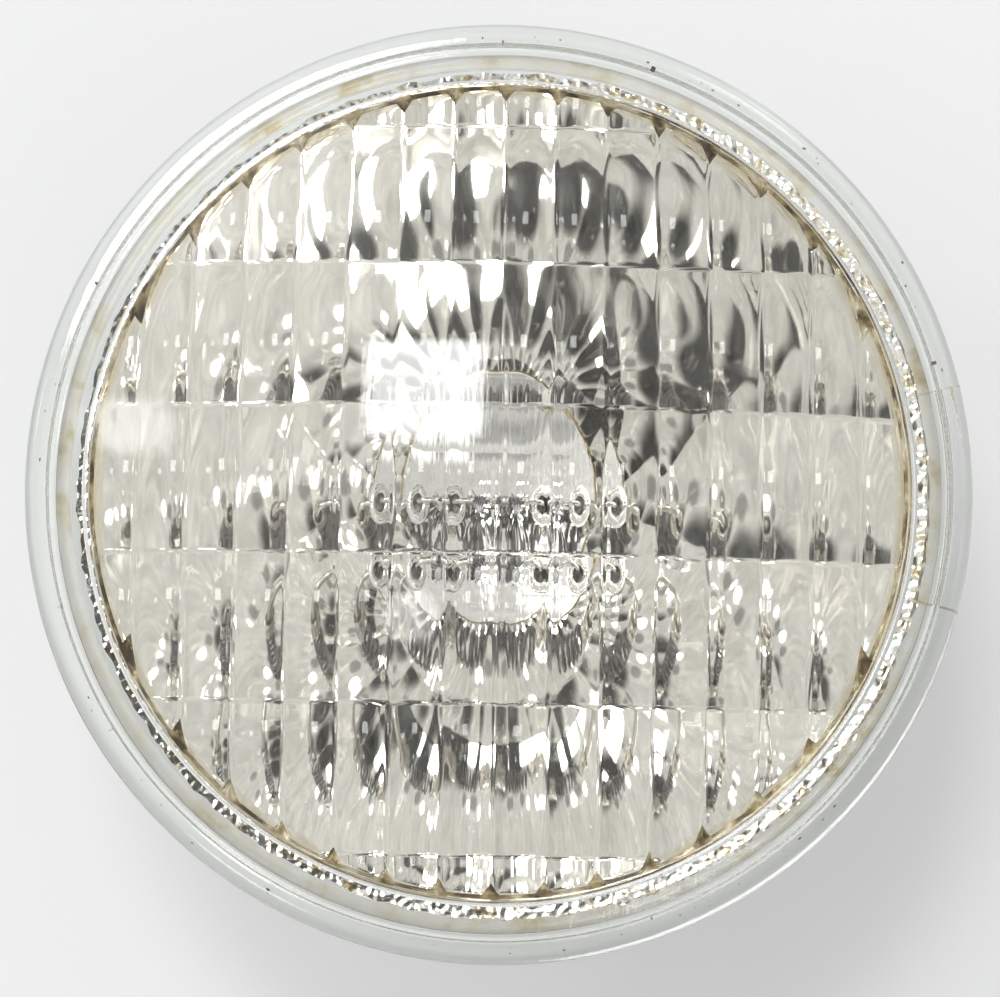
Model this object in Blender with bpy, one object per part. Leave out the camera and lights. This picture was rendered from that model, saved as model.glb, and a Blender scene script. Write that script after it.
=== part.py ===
"""Underwater pool light: an all-glass sealed-beam lamp with screw terminals.

The optical axis is +Z and the lens looks up it.  The origin is the centre of the joint between
the lens and the reflector.  +X runs through the locating lug and the right-hand terminal, and the
flutes of the lens run along Y.  Everything is in metres.
"""
import math

import bmesh
import bpy
from mathutils import Matrix, Vector

# Overall size
LAMP_RADIUS = 0.0889
LAMP_LENGTH = 0.1143
LENS_APEX_Z = 0.0170
LOWEST_Z = LENS_APEX_Z - LAMP_LENGTH
FIT_GAP = 0.0003
HALF_GAP = FIT_GAP / 2.0
ROUND_SEGMENTS = 48
CUT_MARGIN = 0.0010

# Lens
LENS_CURVATURE = 0.260
LENS_INNER_CURVATURE = 0.250
LENS_THICKNESS = 0.0044
DOME_RADIUS = 0.0830
DOME_RINGS = 6
GROOVE_WIDTH = 0.0008
GROOVE_DRAFT = 0.0006
FLANGE_CREST_Z = 0.0049
FLANGE_FLAT_INNER_R = 0.0852
FLANGE_FLAT_OUTER_R = 0.0868
EDGE_ROUNDING = 0.0021
FOOT_CHAMFER = 0.0005
FIELD_RADIUS = 0.0750
FIELD_TOE_RADIUS = 0.0734
FIELD_MARGIN_Z = 0.0015
FIELD_MARGIN_RADIUS = 0.0778
MARGIN_KNEE_RADIUS = 0.0766
MARGIN_KNEE_Z = 0.0011
PAD_Z = -0.0026
FLUTE_COUNT = 16
FLUTE_PITCH = 0.00965
FLUTE_DEPTH = 0.0009
FLUTE_FACETS = 3
ROW_PITCH = 0.0273
ROW_COUNT = 5
ROW_DEPTH = 0.0024
ROW_FACETS = 4
CORE_SKIRT = 0.0020
CORE_FLOOR_Z = -0.0100

# Reflector
FOCAL_LENGTH = 0.0210
VERTEX_Z = -0.0712
BOWL_RADIUS = 0.0760
BOWL_WALL = 0.0038
BOWL_RINGS = 7
BOWL_OUTSIDE_INNER_R = 0.0250
BOWL_OUTSIDE_OUTER_R = 0.0735
MOUTH_RADIUS = 0.0772
FLANGE_BACK_Z = -0.0046
FLANGE_ROUNDING = 0.0008
NECK_RADIUS = 0.0795
BOSS_RADIUS = 0.0276
BOSS_BACK_Z = -0.0805
BOSS_CHAMFER = 0.0010
LUG_INNER_R = 0.0790
LUG_OUTER_R = 0.0884
LUG_BACK_Z = -0.0086
LUG_OVERLAP = 0.0012
LUG_HALF_ANGLE = math.radians(13.9)
LUG_FACETS = 6

# Adhesive joint and mirror
SEAL_INNER_R = 0.0801
SEAL_OUTER_R = 0.0830
SEAL_TOP_Z = 0.0005
SEAL_BOTTOM_Z = -0.0007
COATING_THICKNESS = 0.0003
COATING_INNER_R = 0.0034
COATING_OUTER_R = 0.0753
COATING_WINDOW_GAP = 0.0011

# Exhaust tube, sealed off at its tip
TUBE_RADIUS = 0.0025
TUBE_BORE_RADIUS = 0.0015
TUBE_TOP_Z = -0.0750
TUBE_SHOULDER_Z = -0.0838
TUBE_TIP_Z = -0.0876
TUBE_BORE_DEPTH = 0.0006
TUBE_BORE_TAPER = 0.0009
TUBE_TAPER = [(0.0021, 0.0011), (0.0011, 0.0023), (0.0006, 0.0030)]

# Electrical feedthroughs
FERRULE_X = 0.0180
FERRULE_RADIUS = 0.0060
FERRULE_WALL = 0.0008
FERRULE_FLOOR = 0.0010
FERRULE_RIM_Z = -0.0710
FERRULE_BACK_Z = -0.0822
FERRULE_ROUNDING = 0.0009
FERRULE_CUT_LOW_Z = -0.0900
FERRULE_CUT_HIGH_Z = -0.0550
POST_RADIUS = 0.0009
POST_BEND_RADIUS = 0.0090
POST_END_X = 0.0066
FILAMENT_Z = VERTEX_Z + FOCAL_LENGTH
FILAMENT_TURNS = 6
FILAMENT_COIL_RADIUS = 0.0013
FILAMENT_WIRE_RADIUS = 0.00028
FILAMENT_COIL_HALF = 0.0036
FILAMENT_END_X = 0.0060
FILAMENT_LEG_START_X = 0.0045
CLAMP_RADIUS = 0.0018
CLAMP_INNER_X = 0.0048
CLAMP_OUTER_X = 0.0079

# Screw terminals
STRIP_THICKNESS = 0.0010
STRIP_WIDTH = 0.0100
STRIP_CORNER = 0.0022
FOOT_INNER_X = 0.0129
RISER_X = 0.0242
SHELF_OUTER_X = 0.0356
STRIP_BEND = 0.0014
FOOT_TOP_Z = FERRULE_BACK_Z - FIT_GAP
SCREW_X = 0.0300
SCREW_HOLE_RADIUS = 0.00235
SOLDER_HOLE_RADIUS = 0.0020
SOLDER_HEAD_RADIUS = 0.0034
SOLDER_HEAD_HEIGHT = 0.0014
HEAD_RADIUS = 0.0041
HEAD_HEIGHT = 0.0025
SLOT_WIDTH = 0.0011
SLOT_DEPTH = 0.0012
SLOT_HALF_LENGTH = 0.0050
SLOT_TURN = math.radians(35.0)
HEAD_LEVELS = [(0.0, 0.0), (0.0, 0.0009), (0.0005, 0.0017), (0.0014, HEAD_HEIGHT)]
THREAD_RADIUS = 0.00208
THREAD_ROOT_RADIUS = 0.00166
THREAD_PITCH = 0.000794
THREAD_TIP_Z = -0.0848
WASHER_HALF_WIDTH = 0.0047
WASHER_THICKNESS = 0.0010
WASHER_CORNER = 0.0009
NUT_ACROSS_FLATS = 0.00873
NUT_THICKNESS = 0.0032
NUT_CHAMFER = 0.0004
NUT_CHAMFER_RISE = 0.00028
HEAD_TOP_Z = LOWEST_Z + HEAD_HEIGHT
WASHER_BOTTOM_Z = HEAD_TOP_Z + FIT_GAP
WASHER_TOP_Z = WASHER_BOTTOM_Z + WASHER_THICKNESS
SHELF_BOTTOM_Z = WASHER_TOP_Z + FIT_GAP
SHELF_TOP_Z = SHELF_BOTTOM_Z + STRIP_THICKNESS
NUT_BOTTOM_Z = SHELF_TOP_Z + FIT_GAP

SIDES = {"left": -1.0, "right": 1.0}


# Materials

def material(name, colour, roughness, metallic=0.0, transmission=0.0):
    """Return a Principled material, made once per name."""
    found = bpy.data.materials.get(name)
    if found:
        return found
    made = bpy.data.materials.new(name)
    made.use_nodes = True
    made.diffuse_color = (*colour, 1.0)
    shader = made.node_tree.nodes["Principled BSDF"]
    shader.inputs["Base Color"].default_value = (*colour, 1.0)
    shader.inputs["Roughness"].default_value = roughness
    shader.inputs["Metallic"].default_value = metallic
    shader.inputs["Transmission Weight"].default_value = transmission
    return made


def lens_glass():
    return material("lens_glass", (0.93, 0.95, 0.94), 0.02, transmission=1.0)


def reflector_glass():
    return material("reflector_glass", (0.88, 0.90, 0.89), 0.04, transmission=1.0)


def aluminised_film():
    return material("aluminised_film", (0.86, 0.84, 0.80), 0.05, metallic=1.0)


def amber_adhesive():
    return material("amber_adhesive", (0.66, 0.56, 0.30), 0.25, transmission=0.5)


def ferrule_metal():
    return material("ferrule_metal", (0.55, 0.54, 0.52), 0.32, metallic=1.0)


def solder():
    return material("solder", (0.62, 0.62, 0.63), 0.30, metallic=1.0)


def post_metal():
    return material("post_metal", (0.46, 0.46, 0.47), 0.30, metallic=1.0)


def tungsten():
    return material("tungsten", (0.24, 0.24, 0.26), 0.38, metallic=1.0)


def terminal_brass():
    return material("terminal_brass", (0.72, 0.56, 0.27), 0.32, metallic=1.0)


def plated_steel():
    return material("plated_steel", (0.66, 0.66, 0.65), 0.28, metallic=1.0)


# Mesh helpers

def new_object(name, mesh_data, surface):
    """Link an object that carries a mesh or a curve, with one material."""
    made = bpy.data.objects.new(name, mesh_data)
    mesh_data.materials.append(surface)
    bpy.context.scene.collection.objects.link(made)
    return made


def object_from_bmesh(name, bm, surface, smooth_degrees=35.0):
    """Turn a bmesh into a linked object, smooth where its faces nearly agree."""
    bmesh.ops.recalc_face_normals(bm, faces=bm.faces[:])
    if bm.calc_volume(signed=True) < 0.0:
        bmesh.ops.reverse_faces(bm, faces=bm.faces[:])
    mesh = bpy.data.meshes.new(name)
    bm.to_mesh(mesh)
    bm.free()
    mesh.shade_smooth()
    mesh.set_sharp_from_angle(angle=math.radians(smooth_degrees))
    return new_object(name, mesh, surface)


def spun(profile, segments=ROUND_SEGMENTS, centre_x=0.0, ring=False):
    """Turn (radius, z) points about a vertical axis; a ring's profile closes on itself."""
    bm = bmesh.new()
    points = [bm.verts.new((radius, 0.0, z)) for radius, z in profile]
    pairs = list(zip(points, points[1:]))
    if ring:
        pairs.append((points[-1], points[0]))
    lines = [bm.edges.new(pair) for pair in pairs]
    bmesh.ops.spin(bm, geom=points + lines, cent=(0.0, 0.0, 0.0), axis=(0.0, 0.0, 1.0),
                   angle=math.tau, steps=segments, use_duplicate=False)
    bmesh.ops.remove_doubles(bm, verts=bm.verts[:], dist=1e-6)
    bmesh.ops.translate(bm, verts=bm.verts[:], vec=(centre_x, 0.0, 0.0))
    return bm


def arc(centre_r, centre_z, radius, start_degrees, end_degrees, steps):
    """Points of a circular arc in the (radius, z) plane."""
    points = []
    for step in range(steps + 1):
        angle = math.radians(start_degrees + (end_degrees - start_degrees) * step / steps)
        points.append((centre_r + radius * math.cos(angle), centre_z + radius * math.sin(angle)))
    return points


def prism(outline, bottom_z, top_z):
    """A closed upright prism over (x, y) points."""
    bm = bmesh.new()
    base = bm.faces.new([bm.verts.new((x, y, bottom_z)) for x, y in outline])
    raised = bmesh.ops.extrude_face_region(bm, geom=[base])["geom"]
    moved = [item for item in raised if isinstance(item, bmesh.types.BMVert)]
    bmesh.ops.translate(bm, verts=moved, vec=(0.0, 0.0, top_z - bottom_z))
    return bm


def cylinder_cutter(name, centre_x, radius, bottom_z, top_z, segments=24):
    """A round cutter on a vertical axis."""
    profile = [(0.0, top_z), (radius, top_z), (radius, bottom_z), (0.0, bottom_z)]
    return as_cutter(object_from_bmesh(name, spun(profile, segments, centre_x), plated_steel()))


def as_cutter(made):
    """Keep an object as a guide that only other shapes use."""
    made.hide_render = True
    made.display_type = "WIRE"
    return made


def combine(target, other, operation):
    """Add a Boolean against another object."""
    modifier = target.modifiers.new(operation.lower() + "_" + other.name, "BOOLEAN")
    modifier.object = other
    modifier.operation = operation
    modifier.solver = "EXACT"


# Lens

def dome_z(radius, apex_z, curvature):
    """Height of a spherical cap at a radius."""
    return apex_z - curvature + math.sqrt(curvature ** 2 - radius ** 2)


def bowl_z(radius):
    """Height of the reflecting paraboloid at a radius."""
    return VERTEX_Z + radius ** 2 / (4.0 * FOCAL_LENGTH)


def seal_groove(face_z, floor_z):
    """The four corners of the adhesive's groove, from its outer wall to its inner wall."""
    outer_r = SEAL_OUTER_R + FIT_GAP
    inner_r = SEAL_INNER_R - FIT_GAP
    return [(outer_r, face_z), (outer_r, floor_z), (inner_r, floor_z), (inner_r, face_z)]


def lens_blank_profile():
    """Half section of the lens before its flutes are cut, from the apex round to the axis."""
    dome = []
    for ring in range(DOME_RINGS + 1):
        radius = DOME_RADIUS * ring / DOME_RINGS
        dome.append((radius, dome_z(radius, LENS_APEX_Z, LENS_CURVATURE)))
    root_z = dome[-1][1]
    groove_r = DOME_RADIUS + GROOVE_WIDTH
    rise = [(groove_r, root_z), (groove_r + GROOVE_DRAFT, root_z + GROOVE_DRAFT)]
    crest = [(FLANGE_FLAT_INNER_R, FLANGE_CREST_Z)]
    corner = arc(FLANGE_FLAT_OUTER_R, FLANGE_CREST_Z - EDGE_ROUNDING, EDGE_ROUNDING, 90, 0, 4)
    foot = [(LAMP_RADIUS, HALF_GAP + FOOT_CHAMFER), (LAMP_RADIUS - FOOT_CHAMFER, HALF_GAP)]
    groove = seal_groove(HALF_GAP, SEAL_TOP_Z + FIT_GAP)
    margin = [(FIELD_MARGIN_RADIUS, HALF_GAP), (MARGIN_KNEE_RADIUS, MARGIN_KNEE_Z),
              (FIELD_RADIUS, FIELD_MARGIN_Z)]
    pad = [(FIELD_TOE_RADIUS, PAD_Z), (0.0, PAD_Z)]
    return dome + rise + crest + corner + foot + groove + margin + pad


def fluted_z(x, y, row_centre):
    """Height of the lens's inner face: a dome, hollowed in every flute and along every row."""
    radius = math.hypot(x, y)
    base = dome_z(radius, LENS_APEX_Z - LENS_THICKNESS, LENS_INNER_CURVATURE)
    across = 2.0 * ((x / FLUTE_PITCH) % 1.0) - 1.0
    along = 2.0 * (y - row_centre) / ROW_PITCH
    return base - FLUTE_DEPTH * across ** 2 - ROW_DEPTH * along ** 2


def flute_lines():
    """The x of every facet line across the flutes."""
    facets = FLUTE_COUNT * FLUTE_FACETS
    width = FLUTE_COUNT * FLUTE_PITCH
    return [width * (facet / facets - 0.5) for facet in range(facets + 1)]


def row_lines():
    """The (y, row centre) of every facet line along the rows, from the bottom row to the top."""
    lines = []
    half_rows = ROW_COUNT // 2 + 1
    for row in range(-half_rows, half_rows + 1):
        centre = row * ROW_PITCH
        facets = range(-ROW_FACETS // 2, ROW_FACETS // 2 + 1)
        lines.extend((centre + ROW_PITCH * facet / ROW_FACETS, centre) for facet in facets)
    return [(y, centre) for y, centre in lines if abs(y) < FIELD_MARGIN_RADIUS]


def flute_core():
    """The block that forms the lens's inner face: its top is the fluted surface."""
    xs = flute_lines()
    lines = row_lines()
    bm = bmesh.new()

    def strip(y, height):
        inner = [bm.verts.new((x, y, height(x))) for x in xs]
        first = bm.verts.new((xs[0] - CORE_SKIRT, y, CORE_FLOOR_Z))
        last = bm.verts.new((xs[-1] + CORE_SKIRT, y, CORE_FLOOR_Z))
        return [first] + inner + [last]

    strips = [strip(lines[0][0] - CORE_SKIRT, lambda x: CORE_FLOOR_Z)]
    for y, centre in lines:
        strips.append(strip(y, lambda x: max(fluted_z(x, y, centre), CORE_FLOOR_Z / 2.0)))
    strips.append(strip(lines[-1][0] + CORE_SKIRT, lambda x: CORE_FLOOR_Z))
    for lower, upper in zip(strips, strips[1:]):
        for index in range(len(lower) - 1):
            bm.faces.new((lower[index], lower[index + 1], upper[index + 1], upper[index]))
    bmesh.ops.remove_doubles(bm, verts=bm.verts[:], dist=1e-7)
    border = [edge for edge in bm.edges if edge.is_boundary]
    bmesh.ops.holes_fill(bm, edges=border, sides=len(border))
    return as_cutter(object_from_bmesh("flute_core", bm, lens_glass()))


def make_lens():
    made = object_from_bmesh("lens", spun(lens_blank_profile()), lens_glass())
    combine(made, flute_core(), "DIFFERENCE")


# Reflector, mirror and seal

def bowl_point(radius, offset):
    """A point off the paraboloid along its normal; a positive offset goes into the glass."""
    slope = radius / (2.0 * FOCAL_LENGTH)
    length = math.hypot(slope, 1.0)
    return (radius + offset * slope / length, bowl_z(radius) - offset / length)


def bowl_stations(inner_r, outer_r):
    """Radii from the middle of the bowl to its mouth, shared by the glass and the mirror."""
    return [inner_r + (outer_r - inner_r) * ring / BOWL_RINGS for ring in range(BOWL_RINGS + 1)]


def reflector_profile():
    """Half section of the reflector, closed on itself around the exhaust tube's hole."""
    hole_r = TUBE_RADIUS + FIT_GAP
    inside = [bowl_point(radius, 0.0) for radius in bowl_stations(hole_r, BOWL_RADIUS)]
    land = [(MOUTH_RADIUS, -HALF_GAP)]
    groove = list(reversed(seal_groove(-HALF_GAP, SEAL_BOTTOM_Z - FIT_GAP)))
    rounding = FLANGE_ROUNDING
    top = arc(LAMP_RADIUS - rounding, -HALF_GAP - rounding, rounding, 90, 0, 2)
    bottom = arc(LAMP_RADIUS - rounding, FLANGE_BACK_Z + rounding, rounding, 0, -90, 2)
    neck = [(NECK_RADIUS, FLANGE_BACK_Z)]
    outside = [bowl_point(radius, BOWL_WALL)
               for radius in bowl_stations(BOWL_OUTSIDE_INNER_R, BOWL_OUTSIDE_OUTER_R)]
    boss = [(BOSS_RADIUS, BOSS_BACK_Z + BOSS_CHAMFER), (BOSS_RADIUS - BOSS_CHAMFER, BOSS_BACK_Z)]
    mouth = [(hole_r, BOSS_BACK_Z)]
    return inside + land + groove + top + bottom + neck + outside[::-1] + boss + mouth


def locating_lug():
    """The key under the flange at +X, a sector of a ring that starts inside the flange."""
    outline = []
    for radius, order in ((LUG_INNER_R, 1.0), (LUG_OUTER_R, -1.0)):
        for facet in range(LUG_FACETS + 1):
            angle = order * LUG_HALF_ANGLE * (2.0 * facet / LUG_FACETS - 1.0)
            outline.append((radius * math.cos(angle), radius * math.sin(angle)))
    bm = prism(outline, LUG_BACK_Z, FLANGE_BACK_Z + LUG_OVERLAP)
    return as_cutter(object_from_bmesh("lug_shape", bm, reflector_glass()))


def make_reflector():
    made = object_from_bmesh("reflector", spun(reflector_profile(), ring=True), reflector_glass())
    combine(made, locating_lug(), "UNION")
    for side, sign in SIDES.items():
        cutter = cylinder_cutter("ferrule_hole_" + side, sign * FERRULE_X,
                                 FERRULE_RADIUS + FIT_GAP, FERRULE_CUT_LOW_Z, FERRULE_CUT_HIGH_Z)
        combine(made, cutter, "DIFFERENCE")


def make_mirror_coating():
    """The aluminium film, as a thin shell that follows the bowl at the fitting gap."""
    stations = bowl_stations(COATING_INNER_R, COATING_OUTER_R)
    back = [bowl_point(radius, -FIT_GAP) for radius in stations]
    front = [bowl_point(radius, -FIT_GAP - COATING_THICKNESS) for radius in stations]
    made = object_from_bmesh("mirror_coating", spun(back + front[::-1], ring=True),
                             aluminised_film())
    for side, sign in SIDES.items():
        cutter = cylinder_cutter("coating_window_" + side, sign * FERRULE_X,
                                 FERRULE_RADIUS + COATING_WINDOW_GAP,
                                 FERRULE_CUT_LOW_Z, FERRULE_CUT_HIGH_Z)
        combine(made, cutter, "DIFFERENCE")


def make_seal_ring():
    section = [(SEAL_INNER_R, SEAL_BOTTOM_Z), (SEAL_OUTER_R, SEAL_BOTTOM_Z),
               (SEAL_OUTER_R, SEAL_TOP_Z), (SEAL_INNER_R, SEAL_TOP_Z)]
    object_from_bmesh("seal_ring", spun(section, ring=True), amber_adhesive())


def make_exhaust_tube():
    """A glass tube fused through the boss, melted shut to a nipple at its tip."""
    bore = [(0.0, TUBE_SHOULDER_Z - TUBE_BORE_DEPTH),
            (TUBE_BORE_RADIUS, TUBE_SHOULDER_Z + TUBE_BORE_TAPER), (TUBE_BORE_RADIUS, TUBE_TOP_Z)]
    outside = [(TUBE_RADIUS, TUBE_TOP_Z), (TUBE_RADIUS, TUBE_SHOULDER_Z)]
    taper = [(radius, TUBE_SHOULDER_Z - drop) for radius, drop in TUBE_TAPER]
    profile = bore + outside + taper + [(0.0, TUBE_TIP_Z)]
    object_from_bmesh("exhaust_tube", spun(profile, 16), reflector_glass())


# Feedthroughs and filament

def make_ferrule(side, sign):
    """A thimble in the glass: its mouth faces the bowl and its floor carries the terminal."""
    inner_r = FERRULE_RADIUS - FERRULE_WALL
    rounding = FERRULE_ROUNDING
    floor_z = FERRULE_BACK_Z + FERRULE_FLOOR
    inside = [(0.0, floor_z), (inner_r, floor_z), (inner_r, FERRULE_RIM_Z)]
    outside = [(FERRULE_RADIUS, FERRULE_RIM_Z)]
    outside += arc(FERRULE_RADIUS - rounding, FERRULE_BACK_Z + rounding, rounding, 0, -90, 3)
    bm = spun(inside + outside + [(0.0, FERRULE_BACK_Z)], 20, sign * FERRULE_X)
    object_from_bmesh("ferrule_" + side, bm, ferrule_metal())


def make_ferrule_solder(side, sign):
    """A headed bead of solder through the bracket's foot."""
    head_z = FOOT_TOP_Z - STRIP_THICKNESS - FIT_GAP
    stem_r = SOLDER_HOLE_RADIUS - FIT_GAP
    head = [(SOLDER_HEAD_RADIUS * math.cos(math.radians(angle)),
             head_z - SOLDER_HEAD_HEIGHT * math.sin(math.radians(angle)))
            for angle in range(0, 91, 30)]
    profile = [(0.0, FOOT_TOP_Z), (stem_r, FOOT_TOP_Z), (stem_r, head_z)] + head[:-1]
    profile.append((0.0, head_z - SOLDER_HEAD_HEIGHT))
    object_from_bmesh("ferrule_solder_" + side, spun(profile, 16, sign * FERRULE_X), solder())


def tube_along(name, points, radius, surface, resolution=2):
    """A round rod or wire along a list of points, with flat closed ends."""
    curve = bpy.data.curves.new(name, "CURVE")
    curve.dimensions = "3D"
    curve.bevel_depth = radius
    curve.bevel_resolution = resolution
    curve.use_fill_caps = True
    spline = curve.splines.new("POLY")
    spline.points.add(len(points) - 1)
    for place, point in zip(spline.points, points):
        place.co = (*point, 1.0)
    return new_object(name, curve, surface)


def make_lead_post(side, sign):
    """A stout lead that rises from the ferrule and bends in towards the focus."""
    bend_x = FERRULE_X - POST_BEND_RADIUS
    bend_z = FILAMENT_Z - POST_BEND_RADIUS
    foot_z = FERRULE_BACK_Z + FERRULE_FLOOR + FIT_GAP
    path = [(FERRULE_X, foot_z), (FERRULE_X, (foot_z + bend_z) / 2.0)]
    path += arc(bend_x, bend_z, POST_BEND_RADIUS, 0, 90, 9)
    path.append((POST_END_X, FILAMENT_Z))
    points = [(sign * x, 0.0, z) for x, z in path]
    tube_along("lead_post_" + side, points, POST_RADIUS, post_metal())


def make_filament_clamp(side, sign):
    """The sleeve that holds the filament's leg against the end of its post."""
    bore_r = POST_RADIUS + FIT_GAP
    length = CLAMP_OUTER_X - CLAMP_INNER_X
    section = [(CLAMP_RADIUS, 0.0), (CLAMP_RADIUS, length), (bore_r, length), (bore_r, 0.0)]
    bm = spun(section, 16, ring=True)
    bmesh.ops.rotate(bm, verts=bm.verts[:], cent=(0.0, 0.0, 0.0),
                     matrix=Matrix.Rotation(sign * math.pi / 2.0, 3, "Y"))
    bmesh.ops.translate(bm, verts=bm.verts[:], vec=(sign * CLAMP_INNER_X, 0.0, FILAMENT_Z))
    object_from_bmesh("filament_clamp_" + side, bm, post_metal())


def make_filament():
    """A close coil across the focus, with a straight leg at each end."""
    steps_per_turn = 10
    steps = FILAMENT_TURNS * steps_per_turn
    points = [(-FILAMENT_END_X, 0.0, FILAMENT_Z), (-FILAMENT_LEG_START_X, 0.0, FILAMENT_Z)]
    for step in range(steps + 1):
        angle = math.tau * step / steps_per_turn
        x = FILAMENT_COIL_HALF * (2.0 * step / steps - 1.0)
        points.append((x, FILAMENT_COIL_RADIUS * math.sin(angle),
                       FILAMENT_Z - FILAMENT_COIL_RADIUS * math.cos(angle)))
    points.append((FILAMENT_LEG_START_X, 0.0, FILAMENT_Z))
    points.append((FILAMENT_END_X, 0.0, FILAMENT_Z))
    tube_along("filament", points, FILAMENT_WIRE_RADIUS, tungsten(), resolution=0)


# Screw terminals

def make_terminal_bracket(side, sign):
    """A bent strip: its foot lies on the ferrule, and its shelf stands off for the screw."""
    inner_z = FOOT_TOP_Z - STRIP_THICKNESS
    bend = STRIP_BEND
    inside_bend = bend - STRIP_THICKNESS
    upper = [(FOOT_INNER_X, FOOT_TOP_Z)]
    upper += arc(RISER_X - bend, FOOT_TOP_Z - bend, bend, 90, 0, 4)
    upper += arc(RISER_X + inside_bend, SHELF_TOP_Z + inside_bend, inside_bend, 180, 270, 4)
    upper.append((SHELF_OUTER_X, SHELF_TOP_Z))
    lower = [(SHELF_OUTER_X, SHELF_BOTTOM_Z)]
    lower += arc(RISER_X + inside_bend, SHELF_TOP_Z + inside_bend, bend, 270, 180, 4)
    lower += arc(RISER_X - bend, FOOT_TOP_Z - bend, inside_bend, 0, 90, 4)
    lower.append((FOOT_INNER_X, inner_z))
    bm = prism([(sign * x, z) for x, z in upper + lower], -STRIP_WIDTH / 2.0, STRIP_WIDTH / 2.0)
    bmesh.ops.rotate(bm, verts=bm.verts[:], cent=(0.0, 0.0, 0.0),
                     matrix=Matrix.Rotation(math.pi / 2.0, 3, "X"))
    corners = [edge for edge in bm.edges if is_strip_corner(edge)]
    bmesh.ops.bevel(bm, geom=corners, offset=STRIP_CORNER, segments=3, profile=0.5,
                    affect="EDGES")
    made = object_from_bmesh("terminal_bracket_" + side, bm, terminal_brass())
    for label, x, radius in (("screw", SCREW_X, SCREW_HOLE_RADIUS),
                             ("solder", FERRULE_X, SOLDER_HOLE_RADIUS)):
        cutter = cylinder_cutter(label + "_hole_" + side, sign * x, radius,
                                 LOWEST_Z, FERRULE_BACK_Z + CUT_MARGIN, 20)
        combine(made, cutter, "DIFFERENCE")


def is_strip_corner(edge):
    """True on the four upright edges at the two ends of a bracket's strip."""
    first, second = (vertex.co for vertex in edge.verts)
    upright = abs(first.x - second.x) < 1e-6 and abs(first.y - second.y) < 1e-6
    at_end = min(abs(abs(first.x) - end) for end in (FOOT_INNER_X, SHELF_OUTER_X)) < 1e-6
    return upright and at_end


def make_clamp_washer(side, sign):
    """A square washer with rounded corners, captive under the screw's head."""
    reach = WASHER_HALF_WIDTH - WASHER_CORNER
    outline = []
    for quarter in range(4):
        start = 90.0 * quarter
        middle = math.radians(start + 45.0)
        centre_x = math.copysign(reach, math.cos(middle))
        centre_y = math.copysign(reach, math.sin(middle))
        outline += arc(sign * SCREW_X + centre_x, centre_y, WASHER_CORNER, start, start + 90, 3)
    bm = prism(outline, WASHER_BOTTOM_Z, WASHER_TOP_Z)
    made = object_from_bmesh("clamp_washer_" + side, bm, plated_steel())
    combine(made, cylinder_cutter("washer_hole_" + side, sign * SCREW_X, SCREW_HOLE_RADIUS,
                                  LOWEST_Z, FERRULE_BACK_Z, 20), "DIFFERENCE")


def make_terminal_nut(side, sign):
    """A hexagon nut fixed on the shelf, with its corners chamfered by a turned shape."""
    corner_r = NUT_ACROSS_FLATS / math.sqrt(3.0)
    top_z = NUT_BOTTOM_Z + NUT_THICKNESS
    chamfer = NUT_CHAMFER
    outline = []
    for corner in range(6):
        angle = math.radians(60.0 * corner + 30.0)
        outline.append((sign * SCREW_X + corner_r * math.cos(angle), corner_r * math.sin(angle)))
    made = object_from_bmesh("terminal_nut_" + side, prism(outline, NUT_BOTTOM_Z, top_z),
                             plated_steel())
    flat_r = NUT_ACROSS_FLATS / 2.0
    barrel = [(SCREW_HOLE_RADIUS, NUT_BOTTOM_Z - chamfer), (flat_r, NUT_BOTTOM_Z - chamfer),
              (corner_r + chamfer, NUT_BOTTOM_Z + NUT_CHAMFER_RISE),
              (corner_r + chamfer, top_z - NUT_CHAMFER_RISE), (flat_r, top_z + chamfer),
              (SCREW_HOLE_RADIUS, top_z + chamfer)]
    shape = object_from_bmesh("nut_shape_" + side, spun(barrel, 24, sign * SCREW_X, ring=True),
                              plated_steel())
    combine(made, as_cutter(shape), "INTERSECT")


def thread_rings(height):
    """Rings of points up a screw's shank, whose radius follows a right-hand thread."""
    sides = 10
    per_pitch = 3
    count = round(height / THREAD_PITCH * per_pitch)
    rings = []
    for level in range(count + 1):
        z = height * level / count
        fade = min(1.0, level / per_pitch, (count - level) / per_pitch)
        ring = []
        for side in range(sides):
            turn = side / sides
            phase = (z / THREAD_PITCH - turn) % 1.0
            ridge = fade * (1.0 - abs(2.0 * phase - 1.0))
            radius = THREAD_ROOT_RADIUS + (THREAD_RADIUS - THREAD_ROOT_RADIUS) * ridge
            ring.append(Vector((radius * math.cos(math.tau * turn),
                                radius * math.sin(math.tau * turn), z)))
        rings.append(ring)
    return rings


def screw_head_rings(sides):
    """Rings of a binding head, from its flat underside down to the edge of its flat top."""
    rings = []
    for inset, drop in HEAD_LEVELS:
        radius = HEAD_RADIUS - inset
        rings.append([Vector((radius * math.cos(math.tau * side / sides),
                              radius * math.sin(math.tau * side / sides), -drop))
                      for side in range(sides)])
    return rings


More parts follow.
